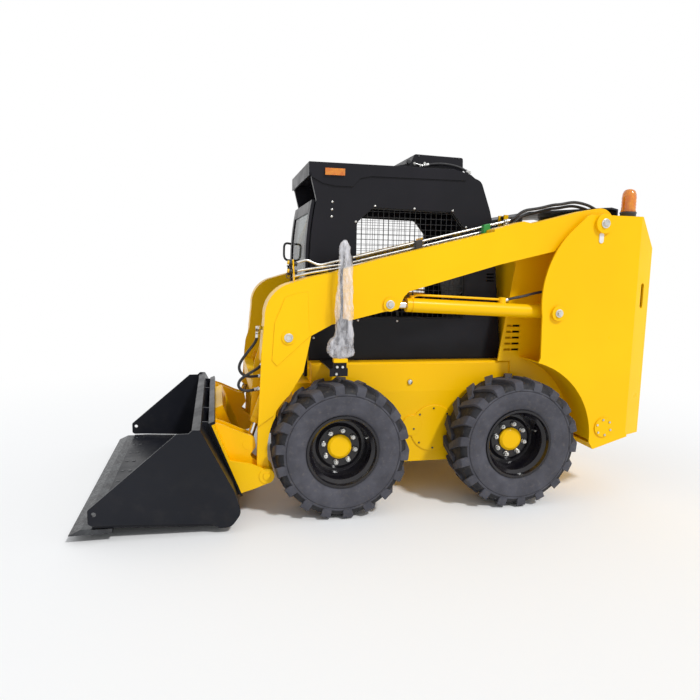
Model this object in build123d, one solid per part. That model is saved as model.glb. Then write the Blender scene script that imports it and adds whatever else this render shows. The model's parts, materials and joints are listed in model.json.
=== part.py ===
from build123d import *
import math
import os

# Skid steer loader, millimetres. Stations run +X forward from the front axle, +Y to
# the machine's left and +Z up from the ground. Every piece is written moved by
# ORIGIN_X, so that the row's origin is on the ground below the middle of the length.

# ---- driving dimensions -------------------------------------------------------
TYRE_R = 416.5              # over the lugs
TYRE_HALF = 153.5           # half the tyre's width
WHEEL_Y = 713.5             # middle of each tyre
WHEELBASE = 1139.0
LUGS = 18                   # tread bars on each side of a tyre
LUG_LEAN = 27.0             # degrees
BEAD_R = 212.0
RIM_HALF = 137.0            # half the rim's width over its flanges
HUB_R = 75.0                # hub cap
SHAFT_R = 40.0              # axle shaft
RUNNING = 0.05              # radial clearance of a shaft in its bore
SEAT = 0.3                  # gap of a piece laid on another
CLEAR = 6.0                 # gap beside a moving plate
SKIN = 12.0                 # plate thickness

BODY_Y = 545.0              # outer faces of the chain cases
BELLY_Z = 240.0
CREASE_Z = 713.0            # fold in the body's side
LEDGE_Z = 905.0             # top of the body's side
CAB_Y = 420.0               # outer faces of the cab
CAB_TOP_Z = 2147.0
DOOR_LOW_Z = 800.0          # lower edge of the front door, which swings over the boom's tube

TOWER_Y = 800.0             # outer faces of the towers
TOWER_TOP_Z = 1865.0
TOWER_FOLD_X = -1935.0      # where the tower's side folds inwards
REAR_X = TOWER_FOLD_X - 141.0   # rear faces of the two towers
TOWER_REAR_Y = 735.0        # outer edge of the tower's rear face
ARCH_R = TYRE_R + 110.5     # wheel arch about the rear axle

ARM_IN_Y = 640.0            # boom arm, inner face
ARM_OUT_Y = 760.0           # boom arm, outer face
KNEE_OUT_Y = 736.0          # outer face of the boom's knee and leg
KNEE_IN_Y = 554.0           # inner face of the boom's knee and leg
LEG_CLEAR_R = 455.0         # the leg's rear edge, about the front axle
AHEAD = LEG_CLEAR_R - 455.0     # how far a wider clearance moves leg, hitch and bucket forward
STRUT_IN_Y = 684.0
STRUT_OUT_Y = KNEE_OUT_Y - SKIN

BOOM_PIVOT = (-1661.0, 1812.0)
LIFT_BASE = (-1380.0, 1246.0)
LIFT_EYE = (-286.0, 1293.0)
TILT_BASE = (319.0 + AHEAD, 1094.0)
TILT_EYE = (550.0 + AHEAD, 441.0)
HITCH_PIN = (447.0 + AHEAD, 265.0)
LIFT_Y = 700.0              # middle of each lift cylinder
TILT_Y = 625.0              # middle of each tilt cylinder
LIFT_BARREL_R = 43.5
LIFT_ROD_R = 25.0
LIFT_BARREL_END = 975.0     # gland, along the cylinder from its base pin
TILT_BARREL_R = 34.0
TILT_ROD_R = 20.0
TILT_BARREL_END = 560.0

BUCKET_Y = 937.0
BUCKET_PLATE = 12.0
TIP_X = 1521.0 + AHEAD      # front edge of the bucket
CORNER_HOLE = (1389.0 + AHEAD, 163.0)
CORNER_HOLE_R = 13.0
HITCH_Y = 758.0             # outer faces of the hitch

AXLE_Z = TYRE_R
REAR_AXLE_X = -WHEELBASE
ORIGIN_X = -(TIP_X + REAR_X) / 2

ARC = "arc"


# ---- helpers ------------------------------------------------------------------
def profile(rows):
    """Closed outline from rows of (x, z, corner radius); a row with ARC in place of the
    radius is the middle of an arc from the row before it to the row after it."""
    rows = [(*row, 0)[:3] for row in rows]
    edges = []
    for n, (x, z, kind) in enumerate(rows):
        before, after = rows[n - 1], rows[(n + 1) % len(rows)]
        if kind == ARC:
            edges.append(ThreePointArc(before[:2], (x, z), after[:2]))
        elif after[2] != ARC:
            edges.append(Line((x, z), after[:2]))
    face = make_face(edges)
    for radius in sorted({r for x, z, r in rows if r not in (0, ARC)}):
        wanted = [(x, z) for x, z, r in rows if r == radius]
        corners = [
            v for v in face.vertices()
            if any(abs(v.X - x) + abs(v.Y - z) < 0.02 for x, z in wanted)
        ]
        face = fillet(corners, radius)
    return face


def slab(rows, y0, y1):
    """An X-Z outline made solid between two Y stations."""
    return extrude(Plane.XZ.offset(-y1) * profile(rows), amount=y1 - y0, dir=(0, -1, 0))


def ahead(rows):
    """Rows of pieces in front of the wheels, moved with the leg's clearance."""
    return [(x + AHEAD, *rest) for x, *rest in rows]


def polar(centre, radius, degrees):
    """Point in X-Z at an angle up from straight ahead of a centre."""
    a = math.radians(degrees)
    return (centre[0] + radius * math.cos(a), centre[1] + radius * math.sin(a))


def arc_rows(centre, radius, start, end):
    """Three rows that make one arc about a centre."""
    return [polar(centre, radius, start), (*polar(centre, radius, (start + end) / 2), ARC),
            polar(centre, radius, end)]


def box(x0, x1, y0, y1, z0, z1):
    return Pos((x0 + x1) / 2, (y0 + y1) / 2, (z0 + z1) / 2) * Box(
        x1 - x0, y1 - y0, z1 - z0)


def bar(x, z, r, y0, y1):
    """Round bar along Y."""
    return Pos(x, (y0 + y1) / 2, z) * Rot(90, 0, 0) * Cylinder(r, y1 - y0)


def post(x, y, r, z0, z1):
    """Round bar along Z."""
    return Pos(x, y, (z0 + z1) / 2) * Cylinder(r, z1 - z0)


def link(p, q, r):
    """Round bar from point p to point q."""
    p, q = Vector(*p), Vector(*q)
    return Plane(origin=(p + q) / 2, z_dir=q - p) * Cylinder(r, (q - p).length)


def turned(rows):
    """Solid of revolution about the Y axis from rows of (radius, y)."""
    return revolve(make_face(Polyline(*rows, close=True)), axis=Axis.Y)


def facet_ring(rows, sides):
    """Ring of flat-faced slices about the Y axis from rows of (radius, y)."""
    half = math.pi / sides
    section = make_face(Polyline(*[(r * math.cos(half), y) for r, y in rows], close=True))
    reach = 2 * max(r for r, y in rows)
    wedge = Plane.XZ * make_face(Polyline(
        (0, 0), (reach, reach * math.tan(half)), (reach, -reach * math.tan(half)), close=True))
    piece = extrude(section, amount=reach / 4, both=True) & extrude(
        wedge, amount=reach, both=True)
    return [Rot(0, n * 360.0 / sides, 0) * piece for n in range(sides)]


def both(shape):
    """A piece on the left and its mirror image on the right."""
    return [shape, mirror(shape, Plane.XZ)]


def along(p, q, distance):
    """Point in X-Z at a distance from p towards q."""
    length = math.hypot(q[0] - p[0], q[1] - p[1])
    return (p[0] + (q[0] - p[0]) * distance / length,
            p[1] + (q[1] - p[1]) * distance / length)


def span(p, q):
    return math.hypot(q[0] - p[0], q[1] - p[1])


def at(p, y):
    return (p[0], y, p[1])


os.makedirs("parts", exist_ok=True)


def save(node, *shapes):
    solids = []
    for shape in shapes:
        for piece in shape if isinstance(shape, list) else [shape]:
            solids += [Pos(ORIGIN_X, 0, 0) * s for s in piece.solids()]
    export_step(solids[0] if len(solids) == 1 else Compound(solids),
                "parts/" + node + ".step")


# ---- wheels -------------------------------------------------------------------
# half of the tyre's section, from the bead to the tread: radius, y
TYRE_SIDES = 26             # flats round the carcass
TYRE_SECTION = ((BEAD_R, 118), (236, 146), (335, 151.5), (394, 130))
carcass = facet_ring(TYRE_SECTION + tuple((r, -y) for r, y in reversed(TYRE_SECTION)), TYRE_SIDES)

# one tread bar, from the tread's middle over the shoulder: y, radius
LUG_TOP = TYRE_R - 3.432    # flat tops, whose corners reach the tyre's radius
LUG_SECTION = ((-16, 383), (-16, LUG_TOP), (124, LUG_TOP - 3), (151, 362), (112, 372))
LUG_WIDTH = 46.0
LUG_TURN_Y = 62.0           # where the bar's lean is taken about
lug_flat = make_face(Polyline(*LUG_SECTION, close=True))
lug = extrude(Plane.YZ.offset(-LUG_WIDTH / 2) * lug_flat, amount=LUG_WIDTH, dir=(1, 0, 0))
lug_left = Pos(0, LUG_TURN_Y, 0) * Rot(0, 0, LUG_LEAN) * Pos(0, -LUG_TURN_Y, 0) * lug
lug_right = mirror(lug_left, Plane.XZ)
step = 360.0 / LUGS
lugs = []
for n in range(LUGS):
    lugs.append(Rot(0, n * step, 0) * lug_left)
    lugs.append(Rot(0, (n + 0.5) * step, 0) * lug_right)
tyre = carcass[0] + carcass[1:] + lugs

# rim with its disc set inboard, y measured outwards from the tyre's middle: radius, y
RIM_SEAT_R = BEAD_R * math.cos(math.pi / TYRE_SIDES) - SEAT
rim = turned((
    (RIM_SEAT_R, -118.4), (RIM_SEAT_R, 118.4), (220.6, 131), (220.6, RIM_HALF),
    (206, RIM_HALF), (201, 112), (182, 92), (174, 20), (164, -14), (146, -14), (126, 0),
    (HUB_R + SEAT, 0), (HUB_R + SEAT, -14), (122, -14), (150, -30), (199, -34),
    (204, -RIM_HALF), (220.6, -RIM_HALF), (220.6, -131),
))
HOUSING_Y = 600.0           # outer face of the axle housings
hub = turned((
    (0, 24), (60, 24), (HUB_R, 14), (HUB_R, -14 - SEAT), (118, -14 - SEAT), (118, -48),
    (60, -58), (60, HOUSING_Y + CLEAR - WHEEL_Y), (SHAFT_R, HOUSING_Y + CLEAR - WHEEL_Y),
    (SHAFT_R, 470 - WHEEL_Y), (0, 470 - WHEEL_Y),
))
WHEELS = (
    # name, axle station, side
    ("front_left", 0.0, 1), ("front_right", 0.0, -1),
    ("rear_left", REAR_AXLE_X, 1), ("rear_right", REAR_AXLE_X, -1),
)
for name, x, side in WHEELS:
    for node, shape in (("tyre_", tyre), ("rim_", rim), ("hub_", hub)):
        placed = Pos(x, WHEEL_Y, AXLE_Z) * shape
        save(node + name, placed if side > 0 else mirror(placed, Plane.XZ))

# ---- chassis ------------------------------------------------------------------
CASE_IN_Y = 400.0
TUB_FRONT_X = 270.0
TUB_REAR_X = -1955.0
FIREWALL_X = -1200.0
case = slab((
    (TUB_FRONT_X - 60, BELLY_Z), (TUB_FRONT_X, 330), (TUB_FRONT_X, CREASE_Z),
    (-1745, CREASE_Z), (-1745, BELLY_Z + 90), (-1650, BELLY_Z),
), CASE_IN_Y, BODY_Y)
# the body's side above the fold leans in towards the ledge: y, z
tank = extrude(Plane.YZ.offset(FIREWALL_X) * make_face(Polyline(
    (430, CREASE_Z), (BODY_Y, CREASE_Z), (BODY_Y - 14, LEDGE_Z - 12), (BODY_Y - 26, LEDGE_Z),
    (430, LEDGE_Z), close=True)), amount=149 - FIREWALL_X, dir=(1, 0, 0))
housing = bar(0, AXLE_Z, 105, BODY_Y, HOUSING_Y) + bar(
    REAR_AXLE_X, AXLE_Z, 105, BODY_Y, HOUSING_Y)
shaft_bores = bar(0, AXLE_Z, SHAFT_R + RUNNING, 460, HOUSING_Y + 1) + bar(
    REAR_AXLE_X, AXLE_Z, SHAFT_R + RUNNING, 460, HOUSING_Y + 1)
case_cover = bar(-520, 485, 68, BODY_Y, BODY_Y + 8)
half_tub = case + tank + housing + case_cover - shaft_bores
belly = slab((
    (TUB_FRONT_X - 60, BELLY_Z), (-1650, BELLY_Z), (TUB_REAR_X, 420), (TUB_REAR_X, 432),
    (-1652, BELLY_Z + SKIN), (TUB_FRONT_X - 66, BELLY_Z + SKIN),
), -CASE_IN_Y, CASE_IN_Y)
toe = slab((
    (TUB_FRONT_X - 66, BELLY_Z), (TUB_FRONT_X - 60, BELLY_Z), (TUB_FRONT_X, 330),
    (TUB_FRONT_X, 780), (150, 780), (150, 768), (TUB_FRONT_X - SKIN, 768),
    (TUB_FRONT_X - SKIN, 334), (TUB_FRONT_X - 66, BELLY_Z + SKIN),
), -CASE_IN_Y, CASE_IN_Y)
toe_sides = both(box(150, TUB_FRONT_X, CASE_IN_Y, BODY_Y - 20, CREASE_Z, 780))
floor = box(-470, TUB_FRONT_X - SKIN, -CASE_IN_Y, CASE_IN_Y, 430, 442)
seat_box = box(-482, -470, -CASE_IN_Y, CASE_IN_Y, BELLY_Z + SKIN, LEDGE_Z)
deck = box(FIREWALL_X, -470, -430, 430, LEDGE_Z - SKIN, LEDGE_Z)
tub = half_tub + mirror(half_tub, Plane.XZ) + [belly, toe, floor, seat_box, deck] + toe_sides
save("chassis_tub", tub)

# side panels of the engine bay with their louvres, firewall and rear sill
side_panel = slab((
    (-1110, LEDGE_Z + SEAT), (FIREWALL_X - SEAT, LEDGE_Z + SEAT),
    (FIREWALL_X - SEAT, CREASE_Z + SEAT), (-1745 - SEAT, CREASE_Z + SEAT),
    (-1745 - SEAT, BELLY_Z + 90), (TUB_REAR_X, 420),
    (TUB_REAR_X, 1850), (-1560, 1850), (-1230, 1790), (-1205, 1560),
), BODY_Y - SKIN, BODY_Y)
LOUVRES = 5
for n in range(LOUVRES):
    z = 975 + 40.0 * n
    slot = slab(((-1258, z), (-1147 - 4 * n, z), (-1151 - 4 * n, z + 14), (-1262, z + 14)),
                BODY_Y - SKIN - 1, BODY_Y + 1)
    side_panel = side_panel - slot
BAY_IN_Y = BODY_Y - SKIN
firewall = box(FIREWALL_X - SKIN, FIREWALL_X - SEAT, -BAY_IN_Y, BAY_IN_Y, CREASE_Z + SEAT, 1790)
low_wall = box(FIREWALL_X - SKIN, FIREWALL_X - SEAT, -CASE_IN_Y + SEAT, CASE_IN_Y - SEAT,
               BELLY_Z + SKIN + SEAT, CREASE_Z + SEAT)
rear_sill = box(TUB_REAR_X, TUB_REAR_X + SKIN, -BAY_IN_Y, BAY_IN_Y, 432 + SEAT, 560)
engine_panels = side_panel + mirror(side_panel, Plane.XZ) + [firewall, low_wall, rear_sill]

# towers: outer plate, folded rear strip, rear plate, wheel arch and foot
rear_axle = (REAR_AXLE_X, AXLE_Z)
ARCH_FROM, ARCH_TO = 104.0, 181.0
arch_edge = arc_rows(rear_axle, ARCH_R, ARCH_TO, ARCH_FROM)
outer_plate = slab(
    [(-1281, 960), (-1274, 1230), (-1297, 1520, ARC), (-1430, 1745), (-1545, TOWER_TOP_Z - 10),
     (-1575, TOWER_TOP_Z), (TOWER_FOLD_X, TOWER_TOP_Z),
     (TOWER_FOLD_X, 455), (-1950, 421), (-1699, 344), (-1669, 387)] + arch_edge,
    TOWER_Y - SKIN, TOWER_Y)
strip_plan = make_face(Polyline(
    (TOWER_FOLD_X, TOWER_Y), (REAR_X, TOWER_REAR_Y), (REAR_X, BODY_Y), (REAR_X + SKIN, BODY_Y),
    (REAR_X + SKIN, TOWER_REAR_Y - 8), (TOWER_FOLD_X, TOWER_Y - SKIN), close=True))
strip = Pos(0, 0, 430) * extrude(strip_plan, amount=TOWER_TOP_Z - 430)
top_cut = slab(((TOWER_FOLD_X + 10, TOWER_TOP_Z + 35), (REAR_X - 20, TOWER_TOP_Z - 225),
                (REAR_X - 20, TOWER_TOP_Z + 35)), 500, 810)
slot = Pos(TOWER_FOLD_X - 63, 770, 1360) * Rot(0, 0, 24.8) * Rot(90, 0, 0) * extrude(
    SlotCenterToCenter(130, 34, rotation=90), amount=60, both=True)
strip = strip - top_cut - slot
arch = slab(arc_rows(rear_axle, ARCH_R, ARCH_FROM, ARCH_TO)
            + arc_rows(rear_axle, ARCH_R + 8, ARCH_TO, ARCH_FROM), BODY_Y, TOWER_Y - SKIN)
foot = slab(((-1669, 387), (-1699, 344), (-1950, 421), (TOWER_FOLD_X, 455), (REAR_X, 455),
             (REAR_X, 467), (TOWER_FOLD_X, 467), (-1700, 360), (-1680, 392)), BODY_Y, TOWER_REAR_Y)
foot_out = slab(((-1669, 387), (-1699, 344), (-1950, 421), (TOWER_FOLD_X, 455),
                 (TOWER_FOLD_X, 467), (-1700, 360), (-1680, 392)), TOWER_REAR_Y, TOWER_Y)
boss = bar(*BOOM_PIVOT, 62, ARM_OUT_Y + CLEAR, TOWER_Y + 20)
boss_in = bar(*BOOM_PIVOT, 62, BODY_Y, ARM_IN_Y - CLEAR)
LIFT_SIDE = LIFT_BARREL_R + CLEAR
base_boss = bar(*LIFT_BASE, 48, LIFT_Y + LIFT_SIDE, TOWER_Y + 18)
base_boss_in = bar(*LIFT_BASE, 48, BODY_Y, LIFT_Y - LIFT_SIDE)
tower_cap = box(TOWER_FOLD_X, TOWER_FOLD_X + 120, 650, TOWER_Y - SKIN, TOWER_TOP_Z - SKIN, TOWER_TOP_Z)
tower_cover = bar(-1765, 492, 66, TOWER_Y, TOWER_Y + 8)
pivot_pin = bar(*BOOM_PIVOT, 35, BODY_Y, TOWER_Y + 20)
base_pin = bar(*LIFT_BASE, 25, BODY_Y, TOWER_Y + 18)
tower = outer_plate + [strip, arch, foot, foot_out, boss, boss_in, base_boss, base_boss_in,
                       tower_cap, tower_cover, pivot_pin, base_pin]
save("tower_left", tower)
save("tower_right", mirror(tower, Plane.XZ))

save("engine_block", box(-1640, -1260, -330, 330, BELLY_Z + SKIN + SEAT, 1250))
bumper = box(REAR_X + 20, TUB_REAR_X - SEAT, -BODY_Y + SEAT, BODY_Y - SEAT, 470, 560)
save("rear_bumper", bumper)

# ---- boom ---------------------------------------------------------------------
ARM_OUTLINE = [
    (60, 1477), (-222, 1563), (-842, 1718), (-941, 1742), (-941, 1757), (-1131, 1811),
    (-1192, 1800), (-1554, 1893), (-1637.8, 1908), (-1757.5, 1805, ARC), (-1684, 1716),
    (-1356, 1633), (-987, 1543), (-406, 1372), (-375, 1340), (-340, 1262, 20),
    (-240, 1246, 20), (-165, 1227), (60, 1170),
]
arm = slab(ARM_OUTLINE, ARM_IN_Y, ARM_OUT_Y)
front_axle = (0.0, AXLE_Z)
LEG_TO = 47.0               # where the leg's rear edge leaves its arc, degrees
leg_rear = arc_rows(front_axle, LEG_CLEAR_R, 28, LEG_TO)
KNEE_TOP = [(60, 1477), (191 + AHEAD, 1447), (297 + AHEAD, 1414), (411 + AHEAD, 1344, ARC),
            (458 + AHEAD, 1201)]
KNEE_REAR = [(228 + AHEAD, 887), (184 + AHEAD, 1103), (60, 1170)]
outer_rows = KNEE_TOP + ahead([(475, 1025), (497, 562)]) + leg_rear + KNEE_REAR
# the inner plate ends below in a guard beside the tilt cylinder
inner_rows = KNEE_TOP + ahead([
    (475, 1025), (506, 933), (516, 847), (533, 585), (486, 564), (483, 722), (440, 850),
]) + arc_rows(front_axle, LEG_CLEAR_R, 43, LEG_TO) + KNEE_REAR
outer_plate = slab(outer_rows, KNEE_OUT_Y - SKIN, ARM_OUT_Y)
inner_plate = slab(inner_rows, KNEE_IN_Y, KNEE_IN_Y + SKIN)
# between the plates: the knee's top and front, and the leg's rear web
KNEE_CORE = KNEE_TOP + ahead([
    (475, 1025), (482, 950), (470, 950), (446, 1190), (300, 1215), (184, 1115),
]) + [(60, 1170)]
core = slab(KNEE_CORE, KNEE_IN_Y + SKIN, KNEE_OUT_Y - SKIN)
web = slab(leg_rear + [(228 + AHEAD, 887), (184 + AHEAD, 1103), (198 + AHEAD, 1106),
                       (240 + AHEAD, 892)]
           + arc_rows(front_axle, LEG_CLEAR_R + SKIN, LEG_TO - 1, 28),
           KNEE_IN_Y + SKIN, KNEE_OUT_Y - SKIN)
# the knee's side is set in from the arm's, with a bend between them
set_in = extrude(Pos(0, 0, 200) * make_face(Polyline(
    (-30, 800), (-30, ARM_OUT_Y), (62, KNEE_OUT_Y), (900, KNEE_OUT_Y), (900, 800), close=True)),
    amount=1400, dir=(0, 0, 1))
doubler = slab(ahead([(206, 1362), (276, 1350, ARC), (340, 1326), (400, 1180), (415, 960),
                      (385, 926), (180, 1114), (198, 1138)]), KNEE_OUT_Y, KNEE_OUT_Y + 5)
strut_rows = ahead([(486, 700), (497, 560), (503, 330), (486, 268)]) + [
    HITCH_PIN] + arc_rows(front_axle, LEG_CLEAR_R - 15, -19, 27) + [
    polar(front_axle, LEG_CLEAR_R + 5, 33)]
strut = slab(strut_rows, STRUT_IN_Y, STRUT_OUT_Y) + bar(
    *HITCH_PIN, 40, STRUT_IN_Y, STRUT_OUT_Y)
TILT_SIDE = TILT_BARREL_R + CLEAR
tilt_boss = bar(*TILT_BASE, 40, TILT_Y + TILT_SIDE, KNEE_OUT_Y + 12) + bar(
    *TILT_BASE, 40, KNEE_IN_Y - 6, TILT_Y - TILT_SIDE)
tilt_pin = bar(*TILT_BASE, 20, KNEE_IN_Y - 6, KNEE_OUT_Y + 12)
eye_pocket = slab(((-420, 1345), (-420, 1150), (-150, 1150), (-150, 1345)),
                  LIFT_Y - 34, LIFT_Y + 34)
eye_boss = bar(*LIFT_EYE, 42, ARM_OUT_Y, ARM_OUT_Y + 12) + bar(
    *LIFT_EYE, 42, ARM_IN_Y - 12, ARM_IN_Y)
pivot_tube = bar(*BOOM_PIVOT, 72, ARM_IN_Y, ARM_OUT_Y)
PIN_R = 22.0                # hitch pin
strut_bore = bar(*HITCH_PIN, PIN_R + RUNNING, STRUT_IN_Y - 1, STRUT_OUT_Y + 1)
half_boom = (arm + outer_plate + inner_plate + core + web - set_in + doubler + strut
             + tilt_boss + tilt_pin + pivot_tube - eye_pocket + eye_boss
             - bar(*BOOM_PIVOT, 35 + RUNNING, 600, 800) - strut_bore)
save("boom_frame", both(half_boom))
save("boom_cross_tube", box(455 + AHEAD, 520 + AHEAD, -KNEE_IN_Y + SEAT, KNEE_IN_Y - SEAT,
                            DOOR_LOW_Z - 110, DOOR_LOW_Z - 15))


# ---- cylinders ----------------------------------------------------------------
def cylinder(base, eye, y, end, barrel_r, rod_r, base_r, eye_r, eye_w, tail):
    """Barrel and rod of one ram; tail is where the rod's inner end sits."""
    reach = span(base, eye)
    barrel = link(at(along(base, eye, base_r * 0.6), y), at(along(base, eye, end), y), barrel_r)
    barrel = barrel + bar(*base, base_r, y - barrel_r, y + barrel_r)
    groove = link(at(along(base, eye, end - 36), y), at(along(base, eye, end - 30), y),
                  barrel_r + 5) - link(at(along(base, eye, end - 40), y),
                                       at(along(base, eye, end - 20), y), barrel_r - 3)
    bore = link(at(along(base, eye, base_r + 12), y), at(along(base, eye, end + 1), y),
                rod_r + RUNNING)
    rod = link(at(along(base, eye, tail), y), at(along(base, eye, reach - eye_r * 0.5), y), rod_r)
    rod = rod + bar(*eye, eye_r, y - eye_w, y + eye_w)
    return barrel - groove - bore, rod


lift_barrel, lift_rod = cylinder(
    LIFT_BASE, LIFT_EYE, LIFT_Y, LIFT_BARREL_END, LIFT_BARREL_R, LIFT_ROD_R, 46, 38, 28, 80)
lift_barrel = lift_barrel - bar(*LIFT_BASE, 25 + RUNNING, 600, 800)
tilt_barrel, tilt_rod = cylinder(
    TILT_BASE, TILT_EYE, TILT_Y, TILT_BARREL_END, TILT_BARREL_R, TILT_ROD_R, 38, 30, 31, 125)
tilt_barrel = tilt_barrel - bar(*TILT_BASE, 20 + RUNNING, 500, 800)
for node, shape in (("lift_barrel", lift_barrel), ("lift_rod", lift_rod),
                    ("tilt_barrel", tilt_barrel), ("tilt_rod", tilt_rod)):
    save(node + "_left", shape)
    save(node + "_right", mirror(shape, Plane.XZ))

# ---- hitch --------------------------------------------------------------------
FACE_LOW = (583.0 + AHEAD, 172.0)   # rear face of the hitch's plate, low end
FACE_HIGH = (752.0 + AHEAD, 590.0)
FACE_LEN = span(FACE_LOW, FACE_HIGH)
face_dir = ((FACE_HIGH[0] - FACE_LOW[0]) / FACE_LEN, (FACE_HIGH[1] - FACE_LOW[1]) / FACE_LEN)


def on_face(s, d):
    """Point s up the hitch's plate from its low end and d in front of its rear face."""
    return (FACE_LOW[0] + face_dir[0] * s + face_dir[1] * d,
            FACE_LOW[1] + face_dir[1] * s - face_dir[0] * d)


PLATE = 14.0                # the hitch's plates
BOSS_R = 46.0               # ears about the hitch pin
ear_foot = [polar(HITCH_PIN, BOSS_R, 72), HITCH_PIN, polar(HITCH_PIN, BOSS_R, -108),
            (525 + AHEAD, 188), on_face(0, 2)]
ear_rows = [on_face(FACE_LEN - 5, 2)] + ahead([
    (693, 564), (590, 515, 20), (515, 490, 30), (505, 425, 30), (545, 372, 20)]) + ear_foot
low_ear_rows = [on_face(215, 2), (540 + AHEAD, 345)] + ear_foot
MID_EAR_Y = STRUT_IN_Y - CLEAR
INNER_EAR_Y = KNEE_IN_Y + SKIN + CLEAR + PLATE
ears = [
    slab(low_ear_rows, HITCH_Y - PLATE, HITCH_Y),
    slab(ear_rows, MID_EAR_Y - PLATE, MID_EAR_Y),
    slab(ear_rows, INNER_EAR_Y - PLATE, INNER_EAR_Y),
    bar(*HITCH_PIN, BOSS_R, STRUT_OUT_Y + CLEAR, HITCH_Y + 4),
    bar(*HITCH_PIN, BOSS_R, MID_EAR_Y - PLATE, MID_EAR_Y),
    bar(*HITCH_PIN, BOSS_R, INNER_EAR_Y - PLATE, INNER_EAR_Y),
    bar(*HITCH_PIN, PIN_R, MID_EAR_Y - PLATE, HITCH_Y + 8),
    bar(*TILT_EYE, 34, MID_EAR_Y, MID_EAR_Y + 1),
]
face_plate = slab((on_face(0, 0), on_face(0, PLATE), on_face(FACE_LEN, PLATE),
                   on_face(FACE_LEN, 0)), 330, HITCH_Y)
rib = slab((on_face(0, -60), on_face(0, 2), on_face(FACE_LEN, 2), on_face(FACE_LEN, -60)),
           330, 345)
top_tube = slab((on_face(FACE_LEN - 70, -60), on_face(FACE_LEN - 70, 0), on_face(FACE_LEN, 0),
                 on_face(FACE_LEN, -60)), -330, 330)
low_tube = slab((on_face(10, -60), on_face(10, 0), on_face(90, 0), on_face(90, -60)), -330, 330)
half_hitch = face_plate + ears + [rib]
save("hitch_frame", half_hitch + mirror(half_hitch, Plane.XZ) + [top_tube, low_tube])

# ---- bucket -------------------------------------------------------------------
side = slab(ahead([
    (953, 589), (887, 590), (867, 609), (825, 608, 12), (642, 247, 60), (602, 118, 60),
    (660, 37, 60), (722, 37, 30), (783, 67), (1290, 96), (1400, 98), (1420, 110, 12),
    (1420, 187, 12),
]), BUCKET_Y - BUCKET_PLATE, BUCKET_Y) - bar(*CORNER_HOLE, CORNER_HOLE_R, 900, 950)
SHELL_Y = BUCKET_Y - BUCKET_PLATE
shell = slab(ahead([
    (845, 606), (825, 608), (645, 247, 60), (605, 120, 60), (668, 40, 60), (740, 48, 60),
    (1290, 78), (1400, 80), (1400, 92), (1290, 90), (740, 61, 60), (674, 53, 50),
    (618, 124, 50), (657, 243, 50),
]), -SHELL_Y, SHELL_Y)
rail = slab(ahead([(828, 607), (822, 578), (850, 566), (872, 596)]), -SHELL_Y, SHELL_Y)
# plate that takes the hitch, parallel to it and seated on it
FRONT = PLATE + SEAT
back_plate = slab((on_face(-20, FRONT), on_face(-20, 26), on_face(FACE_LEN + 16, 26),
                   on_face(FACE_LEN + 16, -10), on_face(FACE_LEN + SEAT, -10),
                   on_face(FACE_LEN + SEAT, FRONT)), -HITCH_Y + 10, HITCH_Y - 10)
web_rows = [on_face(-20, 24), on_face(FACE_LEN + 14, 24)] + ahead([
    (822, 598), (655, 262), (612, 140)])
webs = [slab(web_rows, y - 6, y + 6) for y in (-700, -330, 330, 700)]
bucket = side + mirror(side, Plane.XZ) + [shell, rail, back_plate] + webs
# edge plate bolted under the floor's front, with a ground front edge
EDGE_TOP_Z = 78.0 - SEAT
edge_rows = ahead([(1296, 54), (1296, EDGE_TOP_Z), (1402, EDGE_TOP_Z), (1402, 84)]) + [
    (TIP_X - 65, 84), (TIP_X, 54), (TIP_X - 3, 50)]
edge = slab(edge_rows, -BUCKET_Y, BUCKET_Y)
save("bucket_shell", bucket)
save("cutting_edge", edge - side - mirror(side, Plane.XZ))

# ---- cab ----------------------------------------------------------------------
cab_side = slab((
    (150, 905), (150, 1540), (139, 1745, ARC), (112, 1925), (145, 2062), (140, 2110),
    (-860, 2135, 60), (-990, 2086, 60), (-1060, 1900, 60), (-1090, 1790), (-1188, 905),
), CAB_Y - 30, CAB_Y)
window = slab(((-150, 1180, 30), (-150, 1790, 50), (-255, 1890, 50), (-800, 1880, 50),
               (-885, 1780, 40), (-920, 1180, 30)), CAB_Y - 40, CAB_Y + 10)
light_slots = [box(-1112, -1058, CAB_Y - 40, CAB_Y + 10, z, z + 11) for z in (1430, 1452, 1474)]
cab_side = Pos(0, 0, SEAT) * (cab_side - window - light_slots)
LAP_PIVOT = (-960.0, 1330.0 + SEAT)
LAP_Y = 262.0
lap_pin = bar(*LAP_PIVOT, 12, LAP_Y - 16, CAB_Y - 29)
DOOR_HINGE_X = 186.0
DOOR_HINGE_Y = -412.0
HINGE_PIN_R = 5.0
KNUCKLES = (860.0, 1440.0)
brackets = []
for z in KNUCKLES:
    brackets.append(box(128, 198, -430, -408.5, z + 62, z + 74))
    brackets.append(post(DOOR_HINGE_X, DOOR_HINGE_Y, HINGE_PIN_R, z, z + 72))
save("cab_shell", cab_side + lap_pin, mirror(cab_side + lap_pin, Plane.XZ) + brackets)
CAB_IN_Y = CAB_Y - 30 - SEAT
save("cab_roof", Pos(0, 0, SEAT) * slab((
    (140, CAB_TOP_Z - 49), (140, CAB_TOP_Z - 1), (-860, CAB_TOP_Z), (-930, CAB_TOP_Z - 19),
    (-992, 2080), (-1060, 1900), (-1050, 1890), (-980, 2070), (-920, CAB_TOP_Z - 37),
    (-860, CAB_TOP_Z - 27)), -CAB_IN_Y, CAB_IN_Y))
rear_wall = slab(((-1050, 1890), (-1060, 1900 - SEAT), (-1090, 1790), (-1188, 905),
                  (-1176, 905), (-1078, 1790)), -CAB_IN_Y, CAB_IN_Y)
rear_glass_cut = box(-1150, -1030, -300, 300, 1420, 1790)
save("cab_rear_wall", Pos(0, 0, SEAT) * (rear_wall - rear_glass_cut) - slab((
    (-1060, 1900 + SEAT), (-1050, 1890 + SEAT), (-1048, 1888), (-1040, 1960)), -500, 500))
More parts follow.
